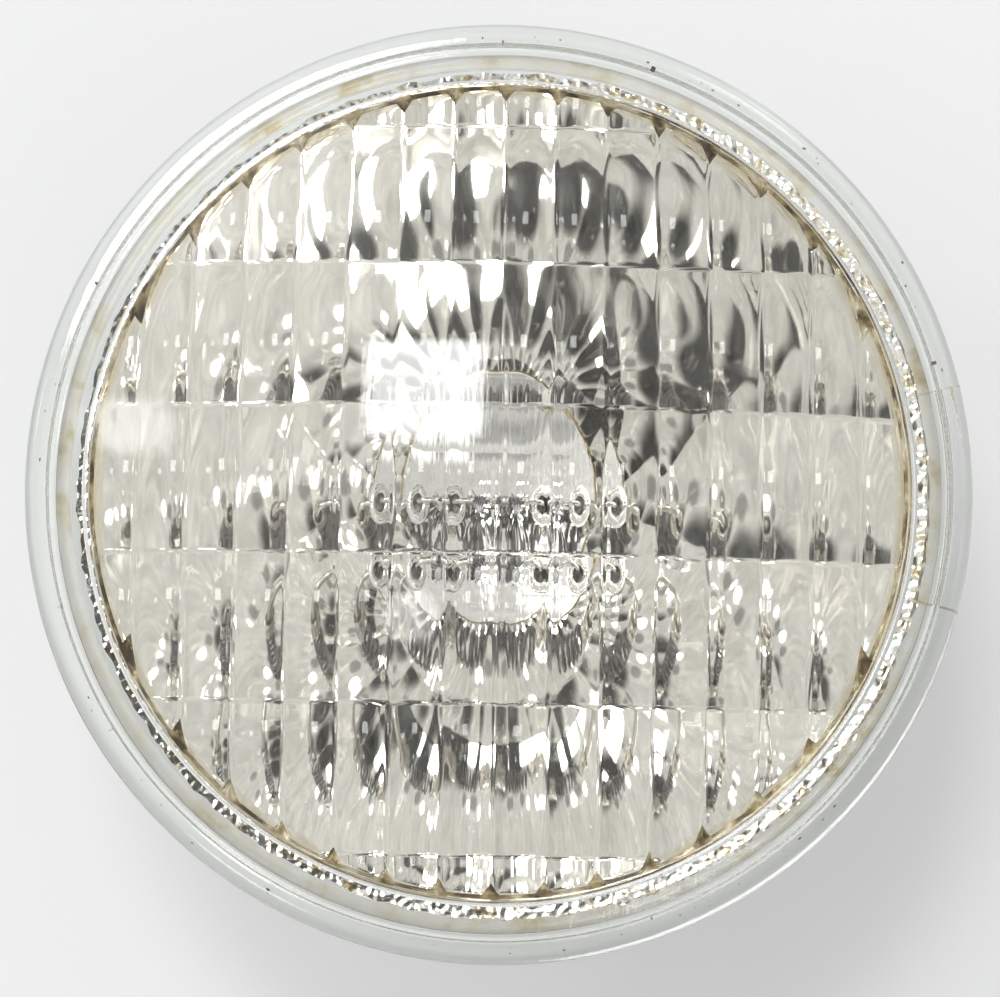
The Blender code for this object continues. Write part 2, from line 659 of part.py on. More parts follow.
def make_terminal_screw(side, sign):
    """A slotted binding-head screw, head down, whose origin is on its own axis."""
    shank = thread_rings(THREAD_TIP_Z - HEAD_TOP_Z)
    rings = screw_head_rings(len(shank[0]) * 2)[::-1]
    bm = bmesh.new()
    head = [[bm.verts.new(point) for point in ring] for ring in rings]
    rod = [[bm.verts.new(point) for point in ring] for ring in shank]
    bm.faces.new(head[0])
    for lower, upper in list(zip(head, head[1:])) + list(zip(rod, rod[1:])):
        for index in range(len(lower)):
            following = (index + 1) % len(lower)
            bm.faces.new((lower[index], lower[following], upper[following], upper[index]))
    shoulder = head[-1]
    for index, vertex in enumerate(rod[0]):
        following = rod[0][(index + 1) % len(rod[0])]
        wide = [shoulder[(2 * index + step) % len(shoulder)] for step in range(3)]
        bm.faces.new((vertex, wide[0], wide[1]))
        bm.faces.new((vertex, wide[1], following))
        bm.faces.new((following, wide[1], wide[2]))
    bm.faces.new(rod[-1])
    made = object_from_bmesh("terminal_screw_" + side, bm, plated_steel())
    made.location = (sign * SCREW_X, 0.0, HEAD_TOP_Z)
    half_length, half_width = SLOT_HALF_LENGTH, SLOT_WIDTH / 2.0
    outline = [(-half_length, -half_width), (half_length, -half_width),
               (half_length, half_width), (-half_length, half_width)]
    slot = prism(outline, -HEAD_HEIGHT - CUT_MARGIN, SLOT_DEPTH - HEAD_HEIGHT)
    cutter = as_cutter(object_from_bmesh("slot_shape_" + side, slot, plated_steel()))
    cutter.location = made.location
    cutter.rotation_euler.z = SLOT_TURN * sign
    combine(made, cutter, "DIFFERENCE")


def clear_scene():
    for old in list(bpy.data.objects):
        bpy.data.objects.remove(old, do_unlink=True)


def main():
    clear_scene()
    make_lens()
    make_reflector()
    make_mirror_coating()
    make_seal_ring()
    make_exhaust_tube()
    make_filament()
    for side, sign in SIDES.items():
        make_ferrule(side, sign)
        make_ferrule_solder(side, sign)
        make_lead_post(side, sign)
        make_filament_clamp(side, sign)
        make_terminal_bracket(side, sign)
        make_clamp_washer(side, sign)
        make_terminal_nut(side, sign)
        make_terminal_screw(side, sign)


main()
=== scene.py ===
"""Looks of the sealed-beam pool light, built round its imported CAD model.

Everything is in metres in the CAD frame: +Z is the optical axis, out through the lens.
"""
from math import atan2, copysign, cos, exp, floor, hypot, pi, radians, sin, sqrt, tau

import bmesh
import bpy
import numpy as np
from mathutils import Matrix, Vector, noise


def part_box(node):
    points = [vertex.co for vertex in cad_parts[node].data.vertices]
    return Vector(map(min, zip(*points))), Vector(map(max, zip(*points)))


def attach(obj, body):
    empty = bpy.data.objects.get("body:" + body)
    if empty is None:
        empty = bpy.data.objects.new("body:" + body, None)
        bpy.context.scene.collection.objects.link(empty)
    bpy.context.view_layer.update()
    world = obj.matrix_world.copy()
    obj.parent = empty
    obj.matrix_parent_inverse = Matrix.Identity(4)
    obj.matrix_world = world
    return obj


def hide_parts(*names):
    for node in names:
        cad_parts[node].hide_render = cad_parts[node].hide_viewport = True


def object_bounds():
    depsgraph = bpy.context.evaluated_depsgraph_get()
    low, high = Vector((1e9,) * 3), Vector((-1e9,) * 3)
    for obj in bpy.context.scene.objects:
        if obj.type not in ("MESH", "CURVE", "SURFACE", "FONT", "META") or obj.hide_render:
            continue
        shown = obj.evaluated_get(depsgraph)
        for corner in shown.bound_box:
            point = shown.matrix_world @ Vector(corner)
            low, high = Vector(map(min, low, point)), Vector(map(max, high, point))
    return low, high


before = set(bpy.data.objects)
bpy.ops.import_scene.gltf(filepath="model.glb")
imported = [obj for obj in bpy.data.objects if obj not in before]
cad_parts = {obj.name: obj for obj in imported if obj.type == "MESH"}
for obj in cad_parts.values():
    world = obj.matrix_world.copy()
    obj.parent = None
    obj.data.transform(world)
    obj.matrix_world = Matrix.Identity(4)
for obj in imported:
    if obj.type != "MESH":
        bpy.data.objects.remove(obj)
cad_low, cad_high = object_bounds()

LAMP = "lamp"

# Sizes read from the frame
_, lens_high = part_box("lens")
seal_low, seal_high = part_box("seal_ring")
RADIUS = lens_high.y
APEX_Z = lens_high.z
HALF_GAP = 0.00015
GLUE_GAP = 0.0002

# Lens
DOME_CURVATURE = 0.260
DOME_RADIUS = 0.0830
INNER_CURVATURE = 0.250
LENS_THICKNESS = 0.0044
FIELD_RADIUS = 0.0756
WALL_RADIUS = 0.0765
FIELD_TOP_Z = 0.0030
HALVING_LEVELS = (4, 6)
NOTCH_DEPTH = 0.0021
NOTCH_HALF_WIDTH = 0.0015
CUSP_ACROSS = 0.17
CUSP_ALONG = 0.05
CUSP_SAMPLES = (0.75, 0.5, 0.25)
FLUTES = 16
FLUTE_PITCH = 0.00965
FLUTE_DEPTH = 0.0009
FLUTE_SAMPLES = 21
ROWS_EACH_WAY = 4
ROW_PITCH = 0.0273
ROW_DEPTH = 0.0024
ROW_SAMPLES = 23
RIM_CLEARANCE = 0.00015
LENS_RIPPLES = (0.00003, 0.000012)
STRAY = (0.00016, 0.00020)
STRAY_FADE = 0.004
CREST_Z = 0.0049
CREST_CROWN = 0.00002
CREST_INSET = 0.0026
CREST_INNER_RADIUS = 0.0853
WALL_Z = 0.00142
WALL_SHARES = (0.3, 0.6, 0.9)
MARGIN_START_RADIUS = 0.0766
MARGIN_KNEE = [(0.0768, 0.00146), (0.0773, 0.00135), (0.0776, 0.00075), (0.0779, HALF_GAP)]
SEAT_INNER_RADII = (0.0785, 0.0793)
SEAT_OUTER_RADII = (0.0838, 0.0880)
EDGE_ROUNDING = 0.0006
SHOULDER_ROUNDING = 0.0022
LIP_RADIUS = 0.0852
LIP_ROUNDING = 0.0006
DOME_GROOVE = [(0.0842, 0.0002), (0.0838, -0.00015), (0.0834, -0.00012)]
DOME_RINGS = 44
SEAL_GROOVE_RADII = (0.0798, 0.07985, 0.0832, 0.08325)
SEAL_INNER_RADIUS = 0.0801
SEAL_CHAMFER = 0.0002

# Seeds in the flange, gathered round a few angles
SEED_COUNT = 70
SEED_ANGLES = [75.0, 40.0, 200.0, 300.0]
SEED_ANGLE_SPREAD = 28.0
SEED_INSET = 0.0031
SEED_INSET_SPREAD = 0.0006
SEED_Z = 0.0030
SEED_SIZE = 0.00009
SEED_SIZE_SPREAD = 0.45
SEED_STRETCH = (1.0, 3.0)

# Reflector
FOCAL = 0.0210
VERTEX_Z = -0.0712
BOWL_RADIUS = 0.0760
WALL = 0.0038
LAND = [(0.0766, -0.0009), (0.0772, -HALF_GAP), (0.0785, -HALF_GAP)]
REFLECTOR_SEAT = [(0.0840, -HALF_GAP), (0.0862, -HALF_GAP)]
FLANGE_ROUNDING = 0.0008
FLANGE_CENTRE_Z = (-0.00095, -0.0038)
NECK = [(0.0862, -0.0046), (0.0800, -0.0047), (0.0770, -0.0056)]
NECK_END_RADIUS = 0.0735
OUTSIDE_RADII = (0.0722, 0.0262)
BOSS_SIDE = [(0.0279, -0.0690), (0.0276, -0.0740), (0.0275, -0.0785)]
BOSS_CORNER = (0.0266, -0.0796, 0.0009)
BOSS_BACK_Z = -0.0805
BOSS_FLAT_RADIUS = 0.0200
LUG_HALF_ANGLE = radians(13.9)
LUG_STEPS = 24
LUG_SECTION = [(0.0790, -0.0040), (0.0884, -0.0040), (0.0884, -0.0080), (0.0880, -0.0086),
               (0.0795, -0.0086), (0.0790, -0.0080)]
FERRULE_X = 0.0180
TUBE_RADIUS = 0.0025
FERRULE_HOLE_RADIUS = 0.00612
FERRULE_CUT = (-0.0900, -0.0550)
FILM_HOLE_RADIUS = 0.0036
MOUND_HEIGHT = 0.0013
MOUND_RADIUS = 0.0050
MOUND_WIDTH = 0.0014
FILM_OFFSETS = (-0.00035, -0.00025)
FILM_GAPS = (0.0009, 0.0002)
FILM_MIDDLE_RADIUS = 0.030
FILM_LIP = [(0.0768, -0.00085), (0.0772, -0.00022), (0.0776, -0.0001),
            (0.0776, -0.00018), (0.0771, -0.00030), (0.0767, -0.00090)]
WAVE_HEIGHT = 0.00006
RIPPLE_HEIGHT = 0.000012
FILM_EDGE_STEPS = 1440
FILM_EDGE_RINGS = 7
FILM_EDGE_RAGGED = 0.0007
CRINKLE_HEIGHT = 0.00008
FILM_EDGE_RADIUS = 0.0774
FILM_EDGE_REACH = 0.0797
FILM_EDGE_SHIFT = (0.0010, -0.0005)
STAIN_RADII = (0.0745, 0.0762)

# Feedthroughs: TUBE_NECK and TUBE_BORE are (radius, height over the tube's shoulder)
TUBE_HOLE_GAP = 0.00012
TUBE_SHOULDER = 0.0088
TUBE_ROUNDING = 0.0003
TUBE_NECK = [(TUBE_RADIUS, 0.002), (TUBE_RADIUS, 0.0), (0.0021, -0.0012), (0.0011, -0.0023)]
TUBE_TIP = [(0.0006, 0.0007), (0.0004, 0.00025), (0.0, 0.0)]
TUBE_BORE = [(0.0, -0.0006), (0.0009, 0.0), (0.0015, 0.0012), (0.0015, 0.003)]
TUBE_MOUTH_RADII = (0.0015, 0.0017)
FERRULE_WALL = 0.0008
FERRULE_FLOOR = 0.0010
FERRULE_ROUNDINGS = (0.0006, 0.0004, 0.0009)
FERRULE_FLAT_RADIUS = 0.0035
FERRULE_GROOVES = (0.0030, 0.0052)
FERRULE_GROOVE_HALF = 0.0003
FERRULE_GROOVE_DEPTH = 0.00012
SOLDER_STEM_RADIUS = 0.0017
SOLDER_HEAD_HEIGHT = 0.0014
SOLDER_EDGE = (0.0002, 0.0001)
SOLDER_LUMPS = 0.00014

# Filament and its leads
POST_BEND = 0.0090
POST_END_X = 0.0068
POST_GAPS = (0.0002, 0.0004)
CLAMP_BORE_RADII = (0.00122, 0.0014)
CLAMP_ROUNDING = 0.0003
CLAMP_CRIMP = (0.0010, 0.0013, 0.00025)
CLAMP_MOUTH = 0.0002
COIL_TURNS = 6
COIL_STEPS = 24
COIL_RADIUS = 0.0013
COIL_HALF_LENGTH = 0.0036
COIL_LEG_GAP = 0.0009
WIRE_RADIUS = 0.00028
DOME_ANGLES = (0.45, 0.9, 1.35)

# Terminals
SCREW_X = 0.0300
SCREW_HOLE_RADIUS = 0.00235
SOLDER_HOLE_RADIUS = 0.0020
TERMINAL_CUT = (-0.0975, -0.0800)
CUT_MARGIN = 0.001
STRIP_CORNER = 0.0022
STRIP_THICKNESS = 0.0010
STRIP_BEND = 0.0014
STRIP_RISER_X = 0.0242
PLATE_BEVEL = 0.00012
WASHER_CORNER = 0.0009
NUT_FLAT = 0.5 * 0.00873
NUT_CHAMFER = 0.0004
NUT_BEVEL = 0.00008
BARREL_MARGIN = 0.0005
NUT_THREADS = 4
NUT_THREAD_PITCH = 0.00052
NUT_MOUTH_RADIUS = 0.0028
NUT_MOUTH_DEPTH = 0.0005
NUT_THREAD_RADII = (0.00232, 0.00222)
HEAD_HEIGHT = 0.0025
HEAD_CROWN = (0.0017, 0.0012)
HEAD_SIDE = [(0.0006, 0.0008), (0.0001, 0.0014), (0.0, 0.0018)]
HEAD_ROUNDING = 0.0002
HEAD_FILLET = 0.0003
THREAD_PITCH = 0.000794
THREAD_ROOT = 0.00166
THREAD_CREST = 0.00208
THREAD_SIDES = 32
THREAD_STEPS = 10
THREAD_FLANK = 1.25
SLOT_HALF = (0.005, 0.00055)
SLOT_DEPTH = 0.0012
SLOT_TURN = radians(35.0)
SCREW_TRAVEL = 0.0032
SIDES = {"left": -1.0, "right": 1.0}

# Camera
CAMERA_TILT = radians(7.0)
CAMERA_ROLL = radians(1.14)
CAMERA_DISTANCE = 0.50
CAMERA_UP = -0.00217
CAMERA_RIGHT = 0.00026
SENSOR_WIDTH = 36.0
VIEW_WIDTH = 0.18868
LIGHT_BOUNCES = 48
GLOSSY_BOUNCES = 16

# Studio: each sky patch has its centre and reach in direction x and y, softness and factor
SKY_LEVEL = 0.755
SKY_COLOUR = (1.0, 0.995, 0.98, 1.0)
SKY_SLOPE = (-0.14, 0.0, 0.0)
SKY_CLUTTER = (0.80, 1.20)
HORIZON = (0.08, 0.34)
WALL_LEVEL = 0.86
FLOOR_HALF = 3.0
FLOOR_COLOUR = (0.90, 0.91, 0.92, 1.0)
PANEL_DIRECTION = (-0.150, 0.306, 1.0)
PANEL_REACH = 1.06
PANEL_HALF = (0.133, 0.112)
PANEL_BORDER = (0.10, 0.12)
PANEL_GLOW = 18.0
SKY_PATCHES = [((0.0, -0.08), (0.06, 0.06), 0.30, 0.40),
               ((0.15, 0.16), (0.215, 0.17), 0.35, 0.02),
               ((-0.10, -0.80), (0.45, 0.14), 0.40, 0.55),
               ((-0.45, 0.60), (0.26, 0.18), 0.65, 2.6),
               ((0.60, -0.74), (0.26, 0.18), 0.65, 2.6),
               ((-0.152, -0.122), (0.045, 0.045), 0.30, 12.0),
               ((-0.616, 0.210), (0.062, 0.044), 0.45, 10.0)]


# Node helpers

def new_material(name):
    made = bpy.data.materials.new(name)
    made.use_nodes = True
    return made, made.node_tree, made.node_tree.nodes["Principled BSDF"]


def feed(node, values):
    """Link or set a node's inputs, by name or by number."""
    for key, value in values.items():
        if isinstance(value, bpy.types.NodeSocket):
            node.id_data.links.new(value, node.inputs[key])
        else:
            node.inputs[key].default_value = value


def add_node(tree, kind, values=None, **settings):
    node = tree.nodes.new(kind)
    for key, value in settings.items():
        setattr(node, key, value)
    feed(node, values or {})
    return node


def mapped(tree, vector, scale, location=(0.0, 0.0, 0.0)):
    values = {"Vector": vector, "Scale": scale, "Location": location}
    return add_node(tree, "ShaderNodeMapping", values).outputs["Vector"]


def object_position(tree, scale=(1.0, 1.0, 1.0)):
    return mapped(tree, add_node(tree, "ShaderNodeTexCoord").outputs["Object"], scale)


def vector_length(tree, vector):
    node = add_node(tree, "ShaderNodeVectorMath", {0: vector}, operation="LENGTH")
    return node.outputs["Value"]


def noise_node(tree, vector, scale, detail=3.0, roughness=0.5):
    values = {"Vector": vector, "Scale": scale, "Detail": detail, "Roughness": roughness}
    return add_node(tree, "ShaderNodeTexNoise", values).outputs["Fac"]


def ramp_node(tree, factor, stops):
    node = add_node(tree, "ShaderNodeValToRGB", {"Fac": factor})
    ramp = node.color_ramp
    while len(ramp.elements) < len(stops):
        ramp.elements.new(0.5)
    for element, (place, colour) in zip(ramp.elements, stops):
        element.position = place
        element.color = (*colour, 1.0)
    return node.outputs["Color"]


def bump_node(tree, height, strength, distance):
    values = {"Height": height, "Strength": strength, "Distance": distance}
    return add_node(tree, "ShaderNodeBump", values).outputs["Normal"]


def maths(tree, operation, *values):
    """A math node's result from links or plain numbers."""
    node = add_node(tree, "ShaderNodeMath", dict(enumerate(values)), operation=operation)
    return node.outputs["Value"]


def map_range(tree, value, low, high, to_low=0.0, to_high=1.0, kind="LINEAR"):
    values = {"Value": value, "From Min": low, "From Max": high, "To Min": to_low,
              "To Max": to_high}
    node = add_node(tree, "ShaderNodeMapRange", values, interpolation_type=kind)
    return node.outputs["Result"]


# Materials

def mottled(name, grain, detail, rough, stops, values):
    """A material whose colour drifts with noise between a few stops."""
    made, tree, shader = new_material(name)
    stain = noise_node(tree, object_position(tree), grain, detail, rough)
    feed(shader, {"Base Color": ramp_node(tree, stain, stops), **values})
    return made


def glass_material(name, tint, streaks=0.0):
    """Clear pressed borosilicate with a faint ripple, and drawn streaks along Y if asked."""
    made, tree, shader = new_material(name)
    height = noise_node(tree, object_position(tree), scale=90.0, detail=7.0, roughness=0.5)
    if streaks:
        drawn = noise_node(tree, object_position(tree, (1.0, 0.09, 1.0)),
                           scale=520.0, detail=3.0, roughness=0.55)
        height = maths(tree, "MULTIPLY_ADD", drawn, streaks, height)
    feed(shader, {"Base Color": (*tint, 1.0), "Roughness": 0.0, "IOR": 1.47,
                  "Transmission Weight": 1.0,
                  "Normal": bump_node(tree, height, strength=0.06, distance=0.0004)})
    return made


def mirror_material():
    """Bright aluminium with a faint warm cast, stained straw near its mouth."""
    made, tree, shader = new_material("aluminised_mirror")
    patches = noise_node(tree, object_position(tree), scale=40.0, detail=4.0)
    colour = ramp_node(tree, patches, [(0.35, (0.87, 0.855, 0.81)), (0.65, (0.94, 0.93, 0.89))])
    radius = vector_length(tree, object_position(tree, (1.0, 1.0, 0.0)))
    mix = add_node(tree, "ShaderNodeMix", data_type="RGBA")
    feed(mix, {"Factor": map_range(tree, radius, *STAIN_RADII), "A": colour,
               "B": (0.78, 0.70, 0.52, 1.0)})
    feed(shader, {"Metallic": 1.0, "Base Color": mix.outputs["Result"], "Roughness": 0.03})
    return made


def foil_material():
    """Crumpled aluminium with straw and gold stains."""
    stops = [(0.34, (0.60, 0.46, 0.22)), (0.43, (0.90, 0.84, 0.68)), (0.54, (0.98, 0.97, 0.94))]
    return mottled("crinkled_film", 260.0, 4.0, 0.6, stops, {"Metallic": 1.0, "Roughness": 0.12})


def overspray_material():
    """The film's brown and gold overspray on the wall round the fluted field."""
    stops = [(0.41, (0.10, 0.07, 0.04)), (0.51, (0.46, 0.36, 0.18)), (0.62, (0.86, 0.80, 0.62))]
    return mottled("film_overspray", 170.0, 5.0, 0.65, stops, {"Metallic": 1.0, "Roughness": 0.22})


def adhesive_material():
    """Amber adhesive, blotched from thick to nearly clear."""
    stops = [(0.33, (0.74, 0.62, 0.38)), (0.45, (0.93, 0.89, 0.78)), (0.60, (0.98, 0.97, 0.94))]
    return mottled("amber_bead", 120.0, 4.0, 0.6, stops,
                   {"Roughness": 0.18, "Transmission Weight": 0.92, "IOR": 1.45})


def metal_material(name, colours, roughness, grain, bump):
    """A metal whose colour and shine drift between a few stops of noise."""
    made, tree, shader = new_material(name)
    vector = object_position(tree)
    patches = noise_node(tree, vector, scale=grain, detail=5.0, roughness=0.6)
    fine = noise_node(tree, vector, scale=grain * 6.0, detail=4.0)
    feed(shader, {"Metallic": 1.0,
                  "Base Color": ramp_node(tree, patches, list(zip((0.35, 0.5, 0.65), colours))),
                  "Roughness": map_range(tree, patches, 0.0, 1.0, roughness * 0.7,
                                         roughness * 1.4),
                  "Normal": bump_node(tree, fine, strength=bump, distance=0.0002)})
    return made


# Each metal has three colours, a roughness, a noise scale and a bump
METALS = {
    "ferrule_alloy": ([(0.10, 0.08, 0.065), (0.24, 0.21, 0.18), (0.42, 0.39, 0.35)],
                      0.32, 300.0, 0.15),
    "tin_solder": ([(0.45, 0.45, 0.46), (0.62, 0.62, 0.63), (0.74, 0.74, 0.74)],
                   0.30, 400.0, 0.25),
    "nickel_rod": ([(0.50, 0.47, 0.42), (0.66, 0.63, 0.58), (0.76, 0.74, 0.70)],
                   0.22, 500.0, 0.08),
    "grey_tungsten": ([(0.16, 0.155, 0.15), (0.26, 0.25, 0.24), (0.36, 0.35, 0.34)],
                      0.42, 900.0, 0.1),
    "strip_brass": ([(0.52, 0.36, 0.14), (0.72, 0.54, 0.25), (0.80, 0.63, 0.33)],
                    0.26, 220.0, 0.12),
    "zinc_steel": ([(0.46, 0.46, 0.45), (0.62, 0.62, 0.60), (0.72, 0.71, 0.68)],
                   0.28, 260.0, 0.12),
}


def metal(name):
    """One of METALS, made the first time that it is asked for."""
    return bpy.data.materials.get(name) or metal_material(name, *METALS[name])


# Mesh helpers

def noise_at(x, y, z):
    return noise.noise(Vector((x, y, z)))


def link(name, data):
    made = bpy.data.objects.new(name, data)
    bpy.context.scene.collection.objects.link(made)
    return made


def smooth(mesh, sharp_degrees):
    mesh.shade_smooth()
    mesh.set_sharp_from_angle(angle=radians(sharp_degrees))


def mesh_object(name, vertices, faces, material, sharp_degrees=30.0):
    mesh = bpy.data.meshes.new(name)
    mesh.from_pydata([tuple(v) for v in vertices], [], faces)
    mesh.update()
    bm = bmesh.new()
    bm.from_mesh(mesh)
    bmesh.ops.remove_doubles(bm, verts=bm.verts[:], dist=1e-7)
    bmesh.ops.recalc_face_normals(bm, faces=bm.faces[:])
    if bm.calc_volume(signed=True) < 0.0:
        bmesh.ops.reverse_faces(bm, faces=bm.faces[:])
    bm.to_mesh(mesh)
    bm.free()
    smooth(mesh, sharp_degrees)
    if material:
        mesh.materials.append(material)
    return link(name, mesh)


def place(piece, slot, *nodes, body=LAMP):
    """Give a finished piece its body and hide the CAD nodes it stands for; the slot is not used."""
    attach(piece, body)
    if nodes:
        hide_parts(*nodes)
    return piece


def arc(centre_r, centre_z, radius, start_degrees, end_degrees, steps):
    angles = np.radians(np.linspace(start_degrees, end_degrees, steps + 1))
    return [(centre_r + radius * cos(a), centre_z + radius * sin(a)) for a in angles]


def smooth_line(points, steps):
    """Points of a Catmull-Rom curve through a few (radius, z) points."""
    padded = [points[0]] + list(points) + [points[-1]]
    made = []
    for index in range(1, len(padded) - 2):
        p0, p1, p2, p3 = (np.array(p) for p in padded[index - 1:index + 3])
        for step in range(steps):
            t = step / steps
            square, cube = 2 * p0 - 5 * p1 + 4 * p2 - p3, 3 * p1 - p0 - 3 * p2 + p3
            made.append(tuple(0.5 * (2 * p1 + (p2 - p0) * t + square * t * t + cube * t ** 3)))
    made.append(tuple(points[-1]))
    return made


def ring_faces(first, second):
    """Quads between two rings of vertex indices."""
    count = len(first)
    return [(first[i], first[(i + 1) % count], second[(i + 1) % count], second[i])
            for i in range(count)]


def skin(rings, closed=False):
    """Vertices and faces through rings of points that all have the same count."""
    count = len(rings[0])
    indices = [list(range(n * count, (n + 1) * count)) for n in range(len(rings))]
    faces = []
    for first, second in zip(indices, indices[1:] + (indices[:1] if closed else [])):
        faces += ring_faces(first, second)
    return [point for ring in rings for point in ring], faces


# Lens

def dome_z(radius, apex_z, curvature):
    return apex_z - curvature + np.sqrt(curvature ** 2 - radius ** 2)


def rounded_square(share, rounding):
    """Parabola across a flute, u squared, whose cusp at u = 1 is rounded off."""
    u = abs(share)
    knee = 1.0 - rounding
    if u <= knee:
        return u * u
    w = u - knee
    return knee * knee + 2.0 * knee * (w - w * w / (2.0 * rounding))


def flute_z(x, y):
    """Height of the fluted face: pillow-shaped hollows in a faintly rippled dome."""
    radius = hypot(x, y)
    base = (APEX_Z - LENS_THICKNESS - INNER_CURVATURE
            + sqrt(INNER_CURVATURE ** 2 - radius ** 2))
    across = 2.0 * ((x / FLUTE_PITCH) % 1.0) - 1.0
    row = floor(y / ROW_PITCH + 0.5)
    along = 2.0 * (y / ROW_PITCH - row)
    ripple = LENS_RIPPLES[0] * noise_at(x * 90.0, y * 60.0, 3.7)
    ripple += LENS_RIPPLES[1] * noise_at(x * 700.0, y * 40.0, 9.1)
    return (base - FLUTE_DEPTH * rounded_square(across, CUSP_ACROSS)
            - ROW_DEPTH * rounded_square(along, CUSP_ALONG) + ripple)


def strayed(x, y):
    """The same place moved a little, so that no cusp line is quite straight."""
    dx = STRAY[0] * noise_at(x * 60.0, y * 110.0, 5.5)
    dy = STRAY[1] * noise_at(x * 230.0, y * 40.0, 8.5)
    fade = min(1.0, max(0.0, (FIELD_RADIUS - hypot(x, y)) / STRAY_FADE))
    return x + fade * dx, y + fade * dy


def sample_shares(steps, rounding):
    """Places across one flute from -1 to 1, crowded at its two cusps."""
    inner = list(np.linspace(-(1.0 - rounding), 1.0 - rounding, steps))
    edge = [1.0 - rounding * share for share in CUSP_SAMPLES]
    return [-1.0] + [-value for value in edge] + inner + edge + [1.0]


def grid_lines(count, pitch, offset, steps, rounding, reach):
    """Lines across the field, aligned with the cusps."""
    lines = set()
    for cell in range(-count, count + 1):
        centre = (cell + offset) * pitch
        for share in sample_shares(steps, rounding):
            value = round(centre + share * pitch / 2.0, 7)
            if abs(value) < reach:
                lines.add(value)
    return sorted(lines)


def rim_radius(x):
    """The field's edge, with a narrow V cut in at every cusp between two flutes."""
    from_cusp = abs((x / FLUTE_PITCH + 0.5) % 1.0 - 0.5) * FLUTE_PITCH
    depth = NOTCH_DEPTH * (1.0 + 0.5 * noise_at(x * 300.0, 0.0, 2.2))
    return FIELD_RADIUS - depth * max(0.0, 1.0 - from_cusp / NOTCH_HALF_WIDTH)


def field_mesh():
    """The fluted inner face, clipped to its rim: vertices, faces, and the rim in order."""
    r = FIELD_RADIUS
    xs = set(grid_lines(FLUTES, FLUTE_PITCH, 0.5, FLUTE_SAMPLES, CUSP_ACROSS, r * 0.999))
    for degrees in range(2, 44):
        rim_x = round(r * cos(radians(degrees)), 7)
        xs.update((rim_x, -rim_x))
    xs = sorted(xs)
    ys = grid_lines(ROWS_EACH_WAY, ROW_PITCH, 0.0, ROW_SAMPLES, CUSP_ALONG, r * 1.01)
    vertices, columns = [], []

    def vertex(x, y):
        vertices.append((*strayed(x, y), flute_z(x, y)))
        return len(vertices) - 1

    for x in xs:
        limit = sqrt(rim_radius(x) ** 2 - x * x)
        inside = [y for y in ys if abs(y) < limit - RIM_CLEARANCE]
        column = {y: vertex(x, y) for y in inside}
        columns.append((x, column, vertex(x, -limit), vertex(x, limit)))
    faces = []
    for (xa, ca, lowa, higha), (xb, cb, lowb, highb) in zip(columns, columns[1:]):
        common = [y for y in ys if y in ca and y in cb]
        for y0, y1 in zip(common, common[1:]):
            faces.append((ca[y0], cb[y0], cb[y1], ca[y1]))
        if not common:
            continue
        first, last = common[0], common[-1]
        below_a = [ca[y] for y in sorted(ca) if y < first]
        below_b = [cb[y] for y in sorted(cb, reverse=True) if y < first]
        faces.append(tuple([lowa] + below_a + [ca[first], cb[first]] + below_b + [lowb]))
        above_a = [ca[y] for y in sorted(ca, reverse=True) if y > last]
        above_b = [cb[y] for y in sorted(cb) if y > last]
        faces.append(tuple([higha] + above_a + [ca[last], cb[last]] + above_b + [highb]))

    def end_angle(x, sign):
        return atan2(sign * sqrt(r * r - x * x), x)

    first, last = columns[0], columns[-1]
    rim = [(low, end_angle(x, -1.0)) for x, _, low, _ in columns]
    rim += [(last[1][y], atan2(y, last[0])) for y in sorted(last[1])]
    rim += [(high, end_angle(x, 1.0)) for x, _, _, high in reversed(columns)]
    rim += [(first[1][y], atan2(y, first[0])) for y in sorted(first[1], reverse=True)]
    return vertices, faces, rim


def lens_outline():
    """(radius, z) from the field's wall out along the seat and round to the apex."""
    foot_z = HALF_GAP
    margin = [(MARGIN_START_RADIUS, WALL_Z)] + smooth_line(MARGIN_KNEE, 4)
    seat = [(r, foot_z) for r in SEAT_INNER_RADII] + seal_groove(foot_z, seal_high.z + GLUE_GAP)
    seat += [(r, foot_z) for r in np.linspace(*SEAT_OUTER_RADII, 6)]
    edge = arc(RADIUS - EDGE_ROUNDING, foot_z + EDGE_ROUNDING, EDGE_ROUNDING, -90, 0, 5)
    shoulder = arc(RADIUS - SHOULDER_ROUNDING, CREST_Z - SHOULDER_ROUNDING, SHOULDER_ROUNDING,
                   0, 80, 14)
    crest = [(RADIUS - CREST_INSET, CREST_Z + CREST_CROWN), (CREST_INNER_RADIUS, CREST_Z)]
    inner = arc(LIP_RADIUS, CREST_Z - LIP_ROUNDING, LIP_ROUNDING, 90, 165, 7)
    root_z = float(dome_z(DOME_RADIUS, APEX_Z, DOME_CURVATURE))
    groove = [(r, root_z + rise) for r, rise in DOME_GROOVE]
    groove = smooth_line([inner[-1], *groove, (DOME_RADIUS, root_z)], 5)[1:]
    radii = DOME_RADIUS * (1.0 - np.linspace(0.0, 1.0, DOME_RINGS)[1:-1])
    dome = [(float(r), float(dome_z(r, APEX_Z, DOME_CURVATURE))) for r in radii]
    return margin + seat + edge + shoulder + crest + inner + groove + dome


def halving_faces(dense, sparse):
    """Faces between a ring and the next one, which has half as many vertices."""
    made = []
    for index, vertex in enumerate(sparse):
        side = dense[2 * index:2 * index + 3]
        if 2 * index + 2 >= len(dense):
            side.append(dense[0])
        made.append((*side, sparse[(index + 1) % len(sparse)], vertex))
    return made


